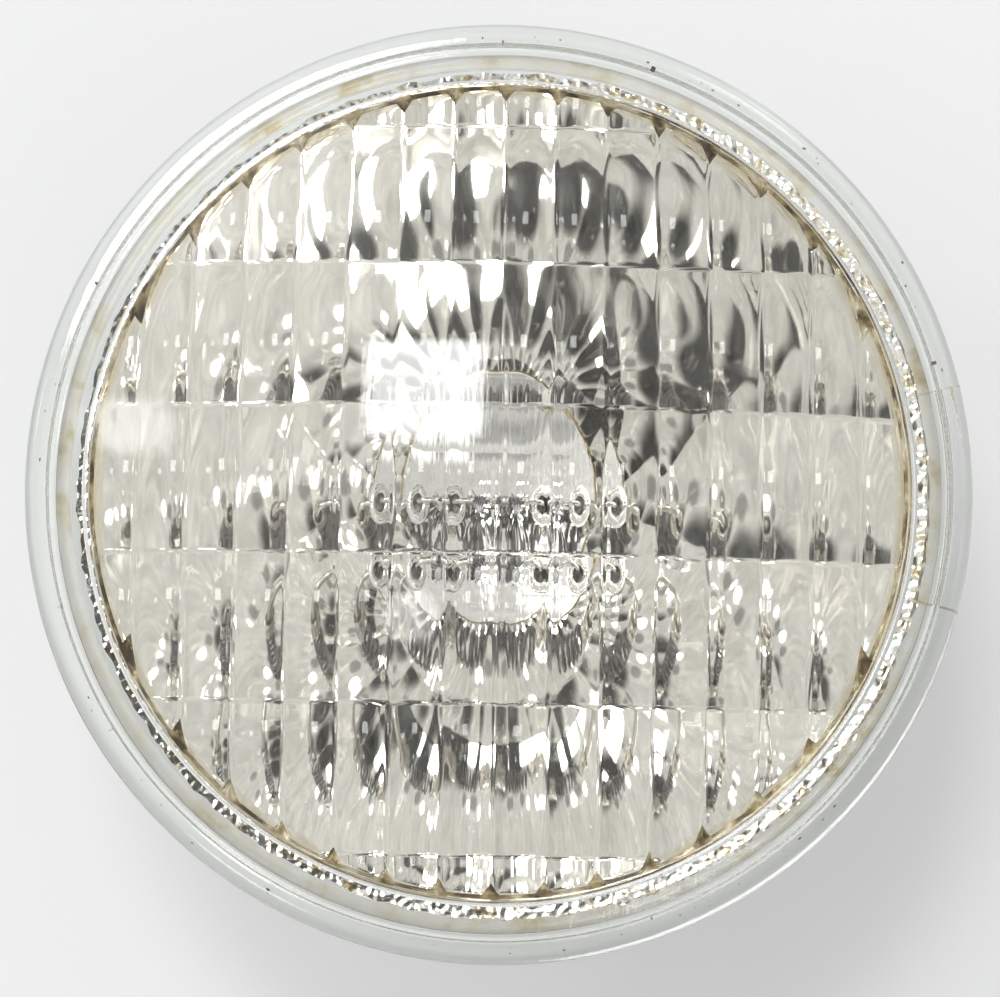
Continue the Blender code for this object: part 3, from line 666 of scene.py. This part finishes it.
def make_lens():
    """The lens: the fluted field, then rings of its rim out, round and up to the apex."""
    vertices, faces, rim = field_mesh()
    angles = [angle for _, angle in rim]
    previous = [index for index, _ in rim]
    field_rim = [Vector(vertices[index]) for index in previous]
    wall = [(WALL_RADIUS, WALL_Z, share) for share in WALL_SHARES]
    outline = wall + [(radius, z, 1.0) for radius, z in lens_outline()]
    for level, (radius, z, share) in enumerate(outline):
        ring = []
        halving = level in HALVING_LEVELS
        if halving:
            angles, field_rim = angles[::2], field_rim[::2]
        for angle, start in zip(angles, field_rim):
            end = Vector((radius * cos(angle), radius * sin(angle), z))
            ring.append(len(vertices))
            vertices.append(start.lerp(end, share))
        faces += halving_faces(previous, ring) if halving else ring_faces(previous, ring)
        previous = ring
    top = len(vertices)
    vertices.append((0.0, 0.0, APEX_Z))
    count = len(previous)
    faces += [(previous[i], previous[(i + 1) % count], top) for i in range(count)]
    glass = glass_material("lens_clear_glass", (0.985, 0.99, 0.985), streaks=0.45)
    lens = mesh_object("lens_shell", vertices, faces, glass, 32.0)
    lens.data.materials.append(overspray_material())
    for face in lens.data.polygons:
        x, y, z = face.center
        if rim_radius(x) < hypot(x, y) < WALL_RADIUS and z < FIELD_TOP_Z:
            face.material_index = 1
    return place(lens, "lens_glass", "lens")


def make_seeds():
    """Tiny dark seeds and bubbles pressed into the flange, mostly along its upper half."""
    stops = [(0.4, (0.05, 0.045, 0.04)), (0.6, (0.22, 0.18, 0.14))]
    dark = mottled("seed_dark", 400.0, 3.0, 0.5, stops, {"Roughness": 0.4})
    bm = bmesh.new()
    random = np.random.default_rng(56)
    for _ in range(SEED_COUNT):
        angle = radians(random.choice(SEED_ANGLES) + random.normal(0.0, SEED_ANGLE_SPREAD))
        radius = RADIUS - SEED_INSET + random.normal(0.0, SEED_INSET_SPREAD)
        size = SEED_SIZE * random.lognormal(0.0, SEED_SIZE_SPREAD)
        spot = Vector((radius * cos(angle), radius * sin(angle), SEED_Z))
        matrix = Matrix.Translation(spot) @ Matrix.Rotation(angle, 4, "Z")
        matrix = matrix @ Matrix.Diagonal((size, size * random.uniform(*SEED_STRETCH), size, 1.0))
        bmesh.ops.create_icosphere(bm, subdivisions=1, radius=1.0, matrix=matrix)
    mesh = bpy.data.meshes.new("flange_seeds")
    bm.to_mesh(mesh)
    bm.free()
    mesh.shade_smooth()
    mesh.materials.append(dark)
    return place(link("flange_seeds", mesh), "lens_glass")


# Reflector

def bowl_z(radius):
    return VERTEX_Z + radius ** 2 / (4.0 * FOCAL)


def bowl_point(radius, offset):
    """A point off the paraboloid by this much, outwards if it is above zero."""
    slope = radius / (2.0 * FOCAL)
    length = hypot(slope, 1.0)
    return (radius + offset * slope / length, bowl_z(radius) - offset / length)


def turned(profile, segments, wobble=None, closed=False, x=0.0):
    """Vertices and faces of a profile turned about +Z, and then moved by x."""
    rings = []
    for radius, z in profile:
        angles = [tau * side / segments for side in range(segments)]
        ring = [(radius * cos(a), radius * sin(a), z) for a in angles]
        if wobble:
            ring = [wobble(point) for point in ring]
        rings.append([(px + x, py, pz) for px, py, pz in ring])
    return skin(rings, closed)


def seal_groove(face_z, floor_z):
    """The groove for the adhesive bead, from its inner lip to its outer one."""
    return list(zip(SEAL_GROOVE_RADII, (face_z, floor_z, floor_z, face_z)))


def finish_solid(made, cutters=(), joins=(), within=(), bevel=0.0):
    """Trim, cut, join and round a solid with modifiers, then keep the result as its mesh."""
    others = ([(w, "INTERSECT") for w in within] + [(c, "DIFFERENCE") for c in cutters]
              + [(j, "UNION") for j in joins])
    for other, operation in others:
        modifier = made.modifiers.new(other.name, "BOOLEAN")
        modifier.object = other
        modifier.operation = operation
        modifier.solver = "EXACT"
    if bevel:
        modifier = made.modifiers.new("edges", "BEVEL")
        modifier.width = bevel
        modifier.segments = 2
        modifier.limit_method = "ANGLE"
        modifier.angle_limit = radians(38.0)
        modifier.harden_normals = True
    graph = bpy.context.evaluated_depsgraph_get()
    mesh = bpy.data.meshes.new_from_object(made.evaluated_get(graph))
    made.modifiers.clear()
    made.data = mesh
    for other, _ in others:
        bpy.data.objects.remove(other, do_unlink=True)
    return made


def round_cutter(x, radius, low_z, high_z):
    profile = [(0.0, low_z), (radius, low_z), (radius, high_z), (0.0, high_z)]
    return mesh_object("cutter", *turned(profile, 48, x=x), None)


def make_lug(glass):
    """The key under the flange at +X: a sector of a ring, drafted towards its foot."""
    rings = []
    for step in range(LUG_STEPS + 1):
        angle = LUG_HALF_ANGLE * (2.0 * step / LUG_STEPS - 1.0)
        rings.append([(r * cos(angle), r * sin(angle), z) for r, z in LUG_SECTION])
    vertices, faces = skin(rings)
    size, count = len(LUG_SECTION), len(vertices)
    faces += [tuple(range(size)), tuple(range(count - size, count))]
    return mesh_object("lug_shape", vertices, faces, glass)


def make_reflector():
    """The pressed glass bowl with its flange, groove, boss, lug and ferrule holes."""
    glass = glass_material("reflector_clear_glass", (0.96, 0.975, 0.96))
    hole = TUBE_RADIUS + TUBE_HOLE_GAP
    inside = [bowl_point(r, 0.0) for r in np.linspace(hole, BOWL_RADIUS, 40)]
    groove = seal_groove(-HALF_GAP, seal_low.z - GLUE_GAP)
    top_z, bottom_z = FLANGE_CENTRE_Z
    edge = arc(RADIUS - FLANGE_ROUNDING, top_z, FLANGE_ROUNDING, 90, 0, 5)
    edge += arc(RADIUS - FLANGE_ROUNDING, bottom_z, FLANGE_ROUNDING, 0, -90, 5)
    neck = smooth_line([*NECK, bowl_point(NECK_END_RADIUS, WALL)], 4)
    outside = [bowl_point(r, WALL) for r in np.linspace(*OUTSIDE_RADII, 30)]
    boss = smooth_line([outside[-1], *BOSS_SIDE], 4) + arc(*BOSS_CORNER, 0, -90, 5)
    back = [(BOSS_FLAT_RADIUS, BOSS_BACK_Z), (hole, BOSS_BACK_Z)]
    profile = inside + LAND + groove + REFLECTOR_SEAT + edge + neck + outside + boss + back
    made = mesh_object("reflector_shell", *turned(profile, 192, closed=True), glass, 40.0)
    cutters = [round_cutter(sign * FERRULE_X, FERRULE_HOLE_RADIUS, *FERRULE_CUT)
               for sign in SIDES.values()]
    finish_solid(made, cutters, [make_lug(glass)])
    smooth(made.data, 40.0)
    return place(made, "reflector_glass", "reflector")


def mound(x, y):
    """Height of the glass collar raised round each ferrule."""
    distance = min(hypot(x - FERRULE_X, y), hypot(x + FERRULE_X, y))
    return MOUND_HEIGHT * exp(-((distance - MOUND_RADIUS) / MOUND_WIDTH) ** 2)


def mirror_wobble(point):
    """The film's point lifted by long waves, fine ripples and the ferrules' collars."""
    x, y, z = point
    radius = hypot(x, y)
    angle = atan2(y, x)
    waves = noise_at(radius * 40.0, cos(angle) * 3.0, sin(angle) * 3.0)
    fine = noise_at(x * 130.0, y * 60.0, z * 60.0)
    rough = noise_at(x * 420.0, y * 110.0, 2.0)
    patch = max(0.0, noise_at(x * 28.0, y * 28.0, 6.0)) * min(1.0, radius / FILM_MIDDLE_RADIUS)
    lift = WAVE_HEIGHT * waves + RIPPLE_HEIGHT * fine + RIPPLE_HEIGHT * rough * patch
    return (x, y, z + lift + mound(x, y))


def make_mirror():
    """The aluminium film on the inside of the bowl, up over its land."""
    inner, middle = TUBE_RADIUS + FILM_GAPS[0], FILM_MIDDLE_RADIUS
    outer = BOWL_RADIUS - FILM_GAPS[1]
    radii = list(np.linspace(inner, middle, 44)) + list(np.linspace(middle, outer, 56)[1:])
    front, back = ([bowl_point(r, offset) for r in radii] for offset in FILM_OFFSETS)
    profile = front + FILM_LIP + back[::-1]
    film = turned(profile, 256, mirror_wobble, closed=True)
    made = mesh_object("mirror_film", *film, mirror_material(), 60.0)
    cutters = [round_cutter(sign * FERRULE_X, FILM_HOLE_RADIUS, *FERRULE_CUT)
               for sign in SIDES.values()]
    finish_solid(made, cutters)
    smooth(made.data, 60.0)
    return place(made, "aluminised_film", "mirror_coating")


def make_film_edge():
    """The torn, crinkled edge of the film, caught between the lens and the reflector."""
    rings = []
    for level in range(FILM_EDGE_RINGS + 1):
        ring = []
        for step in range(FILM_EDGE_STEPS):
            angle = tau * step / FILM_EDGE_STEPS
            ragged = noise_at(cos(angle) * 22.0, sin(angle) * 22.0, 1.0)
            outer = FILM_EDGE_REACH + FILM_EDGE_RAGGED * ragged
            radius = FILM_EDGE_RADIUS + (outer - FILM_EDGE_RADIUS) * level / FILM_EDGE_RINGS
            x = radius * cos(angle) + FILM_EDGE_SHIFT[0]
            y = radius * sin(angle) + FILM_EDGE_SHIFT[1]
            crinkle = noise_at(x * 900.0, y * 900.0, 7.0)
            crinkle += 0.6 * noise_at(x * 2300.0, y * 2300.0, 3.0)
            ring.append((x, y, CRINKLE_HEIGHT * crinkle))
        rings.append(ring)
    made = mesh_object("film_edge", *skin(rings), foil_material(), 180.0)
    return place(made, "aluminised_film")


def make_seal():
    """The amber adhesive bead in the joint's groove."""
    low_z, high_z = seal_low.z, seal_high.z
    inner, outer, cut = SEAL_INNER_RADIUS, seal_high.y, SEAL_CHAMFER
    section = [(inner + cut, low_z), (outer - cut, low_z), (outer, low_z + cut),
               (outer, high_z - cut), (outer - cut, high_z), (inner + cut, high_z),
               (inner, high_z - cut), (inner, low_z + cut)]
    bead = turned(section, 256, closed=True)
    made = mesh_object("seal_bead", *bead, adhesive_material(), 60.0)
    return place(made, "amber_adhesive", "seal_ring")


# Feedthroughs and filament

def make_exhaust():
    """The tube in the middle of the boss, with a long tip melted shut."""
    low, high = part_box("exhaust_tube")
    shoulder = high.z - TUBE_SHOULDER
    outside = [(TUBE_RADIUS - TUBE_ROUNDING, high.z), (TUBE_RADIUS, high.z - TUBE_ROUNDING)]
    outside += smooth_line([(r, shoulder + rise) for r, rise in TUBE_NECK]
                           + [(r, low.z + rise) for r, rise in TUBE_TIP], 5)
    bore = smooth_line([(r, shoulder + rise) for r, rise in TUBE_BORE], 5)
    bore += [(r, high.z) for r in TUBE_MOUTH_RADII]
    glass = glass_material("exhaust_clear_glass", (0.96, 0.975, 0.96))
    made = mesh_object("exhaust_nipple", *turned(bore + outside, 48), glass, 40.0)
    return place(made, "reflector_glass", "exhaust_tube")


def make_ferrule(side, sign):
    """A metal thimble, open towards the filament, with two grooves round it."""
    low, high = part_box("ferrule_" + side)
    radius = 0.5 * (high.y - low.y)
    floor_z = low.z + FERRULE_FLOOR
    inner, lip, heel = FERRULE_ROUNDINGS
    corner_r = radius - FERRULE_WALL - inner
    inside = [(0.0, floor_z), (corner_r, floor_z)]
    inside += arc(corner_r, floor_z + inner, inner, -90, 0, 6)
    rim = arc(radius - lip, high.z - lip, lip, 180, 0, 10)
    foot = arc(radius - heel, low.z + heel, heel, 0, -90, 8)
    rings = []
    for depth in FERRULE_GROOVES:
        groove_z = high.z - depth
        rings += [(radius, groove_z + FERRULE_GROOVE_HALF),
                  (radius - FERRULE_GROOVE_DEPTH, groove_z),
                  (radius, groove_z - FERRULE_GROOVE_HALF)]
    profile = inside + rim + rings + foot + [(FERRULE_FLAT_RADIUS, low.z), (0.0, low.z)]
    cup = turned(profile, 64, x=sign * FERRULE_X)
    made = mesh_object("ferrule_cup_" + side, *cup, metal("ferrule_alloy"), 40.0)
    return place(made, "ferrule_metal", "ferrule_" + side)


def make_solder(side, sign):
    """A lumpy bead of solder with a stem through the strip's hole."""
    low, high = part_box("ferrule_solder_" + side)
    head_r = 0.5 * (high.y - low.y)
    head_z = low.z + SOLDER_HEAD_HEIGHT
    stem = [(0.0, high.z), (SOLDER_STEM_RADIUS, high.z), (SOLDER_STEM_RADIUS, head_z)]
    head = [(head_r - SOLDER_EDGE[0], head_z), (head_r, head_z - SOLDER_EDGE[1])]
    head += [(head_r * cos(radians(a)),
              head_z - SOLDER_HEAD_HEIGHT * sin(radians(a)))
             for a in range(8, 88, 6)]

    def lumpy(point):
        x, y, z = point
        if z > head_z - SOLDER_EDGE[0]:
            return point
        lift = noise_at(x * 500.0, y * 500.0, sign * 4.0)
        return (x, y, z + SOLDER_LUMPS * max(lift, 0.0))

    bead = turned(stem + head + [(0.0, low.z)], 48, lumpy, x=sign * FERRULE_X)
    made = mesh_object("solder_bead_" + side, *bead, metal("tin_solder"), 50.0)
    return place(made, "solder", "ferrule_solder_" + side)


def tube_mesh(name, points, radius, sides, material):
    """A round rod along a path, with domed ends."""
    points = [Vector(p) for p in points]
    normal = None
    rings, outlines = [], []
    for index, point in enumerate(points):
        ahead = points[min(index + 1, len(points) - 1)]
        behind = points[max(index - 1, 0)]
        tangent = (ahead - behind).normalized()
        if normal is None:
            normal = tangent.orthogonal().normalized()
        normal = (normal - tangent * normal.dot(tangent)).normalized()
        rings.append((point, tangent, normal.copy(), radius))

    def dome(centre, tangent, across, sign, angles):
        return [(centre + tangent * radius * 0.5 * sin(a) * sign, tangent, across,
                 radius * cos(a)) for a in angles]

    start = dome(*rings[0][:3], -1.0, DOME_ANGLES[::-1])
    for centre, tangent, across, size in start + rings + dome(*rings[-1][:3], 1.0, DOME_ANGLES):
        other = tangent.cross(across)
        angles = [tau * side / sides for side in range(sides)]
        outlines.append([centre + size * (cos(a) * across + sin(a) * other)
                         for a in angles])
    vertices, faces = skin(outlines)
    count = len(vertices)
    faces.insert(0, tuple(range(sides)))
    faces.append(tuple(range(count - 1, count - sides - 1, -1)))
    return mesh_object(name, vertices, faces, material, 50.0)


def make_post(side, sign):
    """A lead that rises from its ferrule and bends over towards the filament."""
    low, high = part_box("lead_post_" + side)
    radius = 0.5 * (high.y - low.y)
    bend = POST_BEND
    top_z = high.z - radius
    path = [(FERRULE_X, z) for z in np.linspace(low.z + POST_GAPS[0], top_z - bend, 12)]
    path += arc(FERRULE_X - bend, top_z - bend, bend, 0, 90, 24)[1:]
    path += [(x, top_z) for x in np.linspace(FERRULE_X - bend - POST_GAPS[1], POST_END_X, 5)]
    points = [(sign * x, 0.0, z) for x, z in path]
    made = tube_mesh("lead_rod_" + side, points, radius, 24, metal("nickel_rod"))
    return place(made, "post_metal", "lead_post_" + side)


def make_clamp(side, sign):
    """A sleeve crimped round the end of a lead and a leg of the filament."""
    low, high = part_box("filament_clamp_" + side)
    middle = 0.5 * (low.z + high.z)
    radius = 0.5 * (high.z - low.z)
    inner, outer = sorted((abs(low.x), abs(high.x)))
    length = outer - inner
    bore, mouth = CLAMP_BORE_RADII
    collar, crimp, waist = CLAMP_CRIMP[0], CLAMP_CRIMP[1], radius - CLAMP_CRIMP[2]
    rounding = CLAMP_ROUNDING
    half = [(bore, CLAMP_MOUTH), (mouth, 0.0)]
    half += arc(radius - rounding, rounding, rounding, -90, 0, 4)
    half += [(radius, collar), (waist, crimp)]
    profile = half + [(r, length - z) for r, z in reversed(half)]
    vertices, faces = turned(profile, 32, closed=True)
    vertices = [(sign * (inner + z), y, middle + x) for x, y, z in vertices]
    made = mesh_object("crimp_sleeve_" + side, vertices, faces, metal("nickel_rod"), 40.0)
    return place(made, "post_metal", "filament_clamp_" + side)


def make_filament():
    """The tungsten coil, with a straight leg at each end."""
    low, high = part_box("filament")
    axis_z = 0.5 * (low.z + high.z)
    half, end, steps = COIL_HALF_LENGTH, high.x, COIL_TURNS * COIL_STEPS
    points = [(x, 0.0, axis_z) for x in np.linspace(-end, -half - COIL_LEG_GAP, 4)]
    for step in range(steps + 1):
        angle = tau * step / COIL_STEPS
        x = half * (2.0 * step / steps - 1.0)
        points.append((x, COIL_RADIUS * sin(angle), axis_z - COIL_RADIUS * cos(angle)))
    points += [(x, 0.0, axis_z) for x in np.linspace(half + COIL_LEG_GAP, end, 4)]
    made = tube_mesh("coil", points, WIRE_RADIUS, 12, metal("grey_tungsten"))
    return place(made, "tungsten", "filament")


# Screw terminals

def flat_outline(outline, low, high, name, material, axis="Z"):
    """A plate with this outline; with axis Y the outline lies in XZ."""
    count = len(outline)
    vertices = [(a, b, low) for a, b in outline] + [(a, b, high) for a, b in outline]
    if axis == "Y":
        vertices = [(a, c, b) for a, b, c in vertices]
    faces = [tuple(range(count)), tuple(range(count, 2 * count))]
    faces += ring_faces(list(range(count)), list(range(count, 2 * count)))
    return mesh_object(name, vertices, faces, material)


def make_bracket(side, sign):
    """A brass strip with two bends and rounded corners, from the ferrule down to the screw."""
    low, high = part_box("terminal_bracket_" + side)
    thick, bend = STRIP_THICKNESS, STRIP_BEND
    inner_x, outer_x = sorted((abs(low.x), abs(high.x)))
    foot_top, shelf_low = high.z, low.z
    shelf_top, riser = shelf_low + thick, STRIP_RISER_X
    inside = bend - thick
    upper = [(inner_x, foot_top)] + arc(riser - bend, foot_top - bend, bend, 90, 0, 8)
    upper += arc(riser + inside, shelf_top + inside, inside, 180, 270, 8)
    upper.append((outer_x, shelf_top))
    lower = [(outer_x, shelf_low)] + arc(riser + inside, shelf_top + inside, bend, 270, 180, 8)
    lower += arc(riser - bend, foot_top - bend, inside, 0, 90, 8)
    lower.append((inner_x, foot_top - thick))
    outline = [(sign * x, z) for x, z in upper + lower]
    made = flat_outline(outline, low.y, high.y, "terminal_strip_" + side, metal("strip_brass"), "Y")
    cutters = [round_cutter(sign * SCREW_X, SCREW_HOLE_RADIUS, *TERMINAL_CUT),
               round_cutter(sign * FERRULE_X, SOLDER_HOLE_RADIUS, *TERMINAL_CUT)]
    for end_x, inward in ((inner_x, 1.0), (outer_x, -1.0)):
        for y, towards in ((low.y, 1.0), (high.y, -1.0)):
            corner = STRIP_CORNER
            centre_x, centre_y = end_x + inward * corner, y + towards * corner
            past_x, past_y = end_x - inward * CUT_MARGIN, y - towards * CUT_MARGIN
            points = [(past_x, past_y)]
            sweep = [(centre_x - inward * corner * cos(a),
                      centre_y - towards * corner * sin(a))
                     for a in np.linspace(0.0, pi / 2.0, 9)]
            points += [(past_x, centre_y)] + sweep + [(centre_x, past_y)]
            cutters.append(flat_outline([(sign * px, py) for px, py in points],
                                        *TERMINAL_CUT, "corner", None))
    finish_solid(made, cutters, bevel=PLATE_BEVEL)
    return place(made, "terminal_brass", "terminal_bracket_" + side)


def make_washer(side):
    """The square washer that rides on its screw."""
    node = "clamp_washer_" + side
    low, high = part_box(node)
    centre_x, half, corner = 0.5 * (low.x + high.x), 0.5 * (high.y - low.y), WASHER_CORNER
    outline = []
    for quarter in range(4):
        start = 90.0 * quarter
        middle = radians(start + 45.0)
        outline += arc(centre_x + copysign(half - corner, cos(middle)),
                       copysign(half - corner, sin(middle)), corner, start,
                       start + 90, 6)
    made = flat_outline(outline, low.z, high.z, "washer_plate_" + side, metal("zinc_steel"))
    finish_solid(made, [round_cutter(centre_x, SCREW_HOLE_RADIUS, *TERMINAL_CUT)],
                 bevel=PLATE_BEVEL)
    return place(made, "plated_steel", node, body=side + "_washer")


def make_nut(side):
    """A hexagon nut, chamfered by a turned barrel and bored with ridges for a thread."""
    node = "terminal_nut_" + side
    low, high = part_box(node)
    centre_x = 0.5 * (low.x + high.x)
    flat = NUT_FLAT
    corner_r = flat / cos(pi / 6.0)
    outline = [(centre_x + corner_r * cos(radians(60 * k + 30)),
                corner_r * sin(radians(60 * k + 30))) for k in range(6)]
    made = flat_outline(outline, low.z, high.z, "hex_nut_" + side, metal("zinc_steel"))
    chamfer = NUT_CHAMFER
    half = [(0.0, -chamfer), (flat, -chamfer), (flat, 0.0), (corner_r, chamfer),
            (corner_r + BARREL_MARGIN, chamfer)]
    profile = [(r, low.z + rise) for r, rise in half]
    profile += [(r, high.z - rise) for r, rise in reversed(half)]
    barrel = mesh_object("barrel", *turned(profile, 72, x=centre_x), None)
    mouth, start_z = NUT_MOUTH_RADIUS, low.z + NUT_MOUTH_DEPTH
    valley, ridge = NUT_THREAD_RADII
    bore = [(0.0, low.z - CUT_MARGIN), (mouth, low.z - CUT_MARGIN), (mouth, low.z),
            (ridge, start_z)]
    for step in range(1, NUT_THREADS + 1):
        z = start_z + step * NUT_THREAD_PITCH
        bore += [(valley, z - 0.5 * NUT_THREAD_PITCH), (ridge, z)]
    bore += [(mouth, high.z), (mouth, high.z + CUT_MARGIN), (0.0, high.z + CUT_MARGIN)]
    cutter = mesh_object("bore", *turned(bore, 48, x=centre_x), None)
    finish_solid(made, [cutter], within=[barrel], bevel=NUT_BEVEL)
    return place(made, "plated_steel", node)


def make_screw(side, sign):
    """A slotted binding-head screw with a cut thread, head down."""
    node = "terminal_screw_" + side
    low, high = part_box(node)
    centre_x = 0.5 * (low.x + high.x)
    head_r = 0.5 * (high.y - low.y)
    head_top = low.z + HEAD_HEIGHT
    sides = THREAD_SIDES
    length = high.z - head_top
    count = round(length / THREAD_PITCH * THREAD_STEPS)
    inset, crown = HEAD_CROWN
    profile = [(0.0, low.z), (head_r - inset, low.z)]
    profile += arc(head_r - inset, low.z + crown, crown, -90, -45, 5)
    profile += smooth_line([(head_r - inward, low.z + rise) for inward, rise in HEAD_SIDE], 4)
    profile += arc(head_r - HEAD_ROUNDING, head_top - HEAD_ROUNDING, HEAD_ROUNDING, 0, 90, 3)
    profile += [(THREAD_ROOT + HEAD_FILLET, head_top)]
    rings = [[(r, z)] * sides for r, z in profile]
    for level in range(count + 1):
        z = length * level / count
        fade = min(1.0, level / THREAD_STEPS, (count - level) / (1.5 * THREAD_STEPS))
        ring = []
        for step in range(sides):
            phase = (z / THREAD_PITCH - step / sides) % 1.0
            ridge = fade * min(1.0, THREAD_FLANK * (1.0 - abs(2.0 * phase - 1.0)))
            ring.append((THREAD_ROOT + (THREAD_CREST - THREAD_ROOT) * ridge, head_top + z))
        rings.append(ring)
    rings.append([(THREAD_ROOT * 0.7, high.z)] * sides)
    rings.append([(0.0, high.z)] * sides)
    angles = [tau * step / sides for step in range(sides)]
    rings = [[(centre_x + r * cos(a), r * sin(a), z) for a, (r, z) in zip(angles, ring)]
             for ring in rings]
    made = mesh_object("slotted_screw_" + side, *skin(rings), metal("zinc_steel"), 40.0)
    turn = SLOT_TURN * sign
    along, across = SLOT_HALF
    slot = [(cos(turn) * a - sin(turn) * b + centre_x,
             sin(turn) * a + cos(turn) * b)
            for a, b in ((-along, -across), (along, -across), (along, across), (-along, across))]
    cutter = flat_outline(slot, low.z - CUT_MARGIN, low.z + SLOT_DEPTH, "slot", None)
    finish_solid(made, [cutter])
    smooth(made.data, 40.0)
    return place(made, "plated_steel", node, body=side + "_screw")


# Stage

def make_floor():
    """Pale paper, just low enough for the screws to back out without touching it."""
    mesh = bpy.data.meshes.new("floor")
    half = FLOOR_HALF
    z = cad_low.z - SCREW_TRAVEL
    mesh.from_pydata([(-half, -half, z), (half, -half, z), (half, half, z), (-half, half, z)],
                     [], [(0, 1, 2, 3)])
    made = link("floor", mesh)
    material, _, shader = new_material("paper")
    feed(shader, {"Base Color": FLOOR_COLOUR, "Roughness": 0.9})
    mesh.materials.append(material)


def sky_patch(tree, direction, centre, reach, soft, inside):
    """A factor that is `inside` within an ellipse of directions near +Z, and 1 outside it."""
    offset = mapped(tree, direction, (1.0 / reach[0], 1.0 / reach[1], 0.0),
                    (-centre[0] / reach[0], -centre[1] / reach[1], 0.0))
    return map_range(tree, vector_length(tree, offset), 1.0 - soft, 1.0 + soft, inside, 1.0,
                     "SMOOTHSTEP")


def make_world():
    """A grey-white room overhead, with dark and bright patches, that fades to plain walls."""
    world = bpy.data.worlds.new("studio")
    bpy.context.scene.world = world
    world.use_nodes = True
    tree = world.node_tree
    direction = add_node(tree, "ShaderNodeTexCoord").outputs["Generated"]
    slope = add_node(tree, "ShaderNodeVectorMath", {0: direction, 1: SKY_SLOPE},
                     operation="DOT_PRODUCT")
    value = maths(tree, "ADD", slope.outputs["Value"], SKY_LEVEL)
    for centre, reach, soft, inside in SKY_PATCHES:
        patch = sky_patch(tree, direction, centre, reach, soft, inside)
        value = maths(tree, "MULTIPLY", value, patch)
    shapes = noise_node(tree, mapped(tree, direction, (2.4, 1.0, 1.0)), scale=5.0, detail=4.0,
                        roughness=0.6)
    clutter = map_range(tree, shapes, 0.32, 0.68, *SKY_CLUTTER)
    value = maths(tree, "MULTIPLY", value, clutter)
    height = add_node(tree, "ShaderNodeSeparateXYZ", {"Vector": direction}).outputs["Z"]
    value = maths(tree, "MULTIPLY", value, map_range(tree, height, *HORIZON))
    value = maths(tree, "ADD", value, map_range(tree, height, *HORIZON, WALL_LEVEL, 0.0))
    feed(tree.nodes["Background"], {"Color": SKY_COLOUR, "Strength": value})


def make_softbox():
    """A softbox: a panel that glows evenly and fades over a narrow border."""
    back = Vector(PANEL_DIRECTION).normalized()
    right = Vector((1.0, 0.0, 0.0))
    right = (right - back * right.dot(back)).normalized()
    up = back.cross(right)
    half_x, half_y = PANEL_HALF
    signs = [(-1, -1), (1, -1), (1, 1), (-1, 1)]
    corners = [back * PANEL_REACH + right * half_x * a + up * half_y * b for a, b in signs]
    mesh = bpy.data.meshes.new("softbox")
    mesh.from_pydata(corners, [], [(3, 2, 1, 0)])
    uv = mesh.uv_layers.new(name="panel")
    for loop, (u, v) in zip(uv.data, [(0, 1), (1, 1), (1, 0), (0, 0)]):
        loop.uv = (u, v)
    made = link("softbox", mesh)
    material, tree, _ = new_material("softbox_glow")
    tree.nodes.clear()
    place_uv = add_node(tree, "ShaderNodeTexCoord").outputs["UV"]
    split = add_node(tree, "ShaderNodeSeparateXYZ", {"Vector": place_uv})
    edges = []
    for axis, border in zip("XY", PANEL_BORDER):
        fold = maths(tree, "PINGPONG", split.outputs[axis], 0.5)
        edges.append(map_range(tree, fold, 0.0, border, kind="SMOOTHSTEP"))
    strength = maths(tree, "MULTIPLY", maths(tree, "MULTIPLY", *edges), PANEL_GLOW)
    glow = add_node(tree, "ShaderNodeEmission", {"Strength": strength})
    add_node(tree, "ShaderNodeOutputMaterial", {"Surface": glow.outputs["Emission"]})
    mesh.materials.append(material)


def make_camera():
    """A camera that looks down at the lens, tilted a little towards -Y and rolled."""
    right = Vector((1.0, 0.0, 0.0))
    up = Vector((0.0, cos(CAMERA_TILT), sin(CAMERA_TILT)))
    back = Vector((0.0, -sin(CAMERA_TILT), cos(CAMERA_TILT)))
    camera = bpy.data.cameras.new("camera")
    camera.sensor_width = SENSOR_WIDTH
    camera.lens = SENSOR_WIDTH * CAMERA_DISTANCE / VIEW_WIDTH
    made = link("camera", camera)
    roll = CAMERA_ROLL
    turned_right = cos(roll) * right + sin(roll) * up
    turned_up = -sin(roll) * right + cos(roll) * up
    matrix = Matrix((turned_right, turned_up, back)).transposed().to_4x4()
    matrix.translation = back * CAMERA_DISTANCE + up * CAMERA_UP + right * CAMERA_RIGHT
    made.matrix_world = matrix
    bpy.context.scene.camera = made


def main():
    scene = bpy.context.scene
    scene.view_settings.view_transform = "Standard"
    scene.cycles.max_bounces = LIGHT_BOUNCES
    scene.cycles.transmission_bounces = LIGHT_BOUNCES
    scene.cycles.glossy_bounces = GLOSSY_BOUNCES
    for make in (make_world, make_softbox, make_floor, make_camera, make_lens, make_seeds,
                 make_reflector, make_mirror, make_film_edge, make_seal, make_exhaust,
                 make_filament):
        make()
    for side, sign in SIDES.items():
        for make in (make_ferrule, make_solder, make_post, make_clamp, make_bracket):
            make(side, sign)
        make_washer(side)
        make_nut(side)
        make_screw(side, sign)


main()
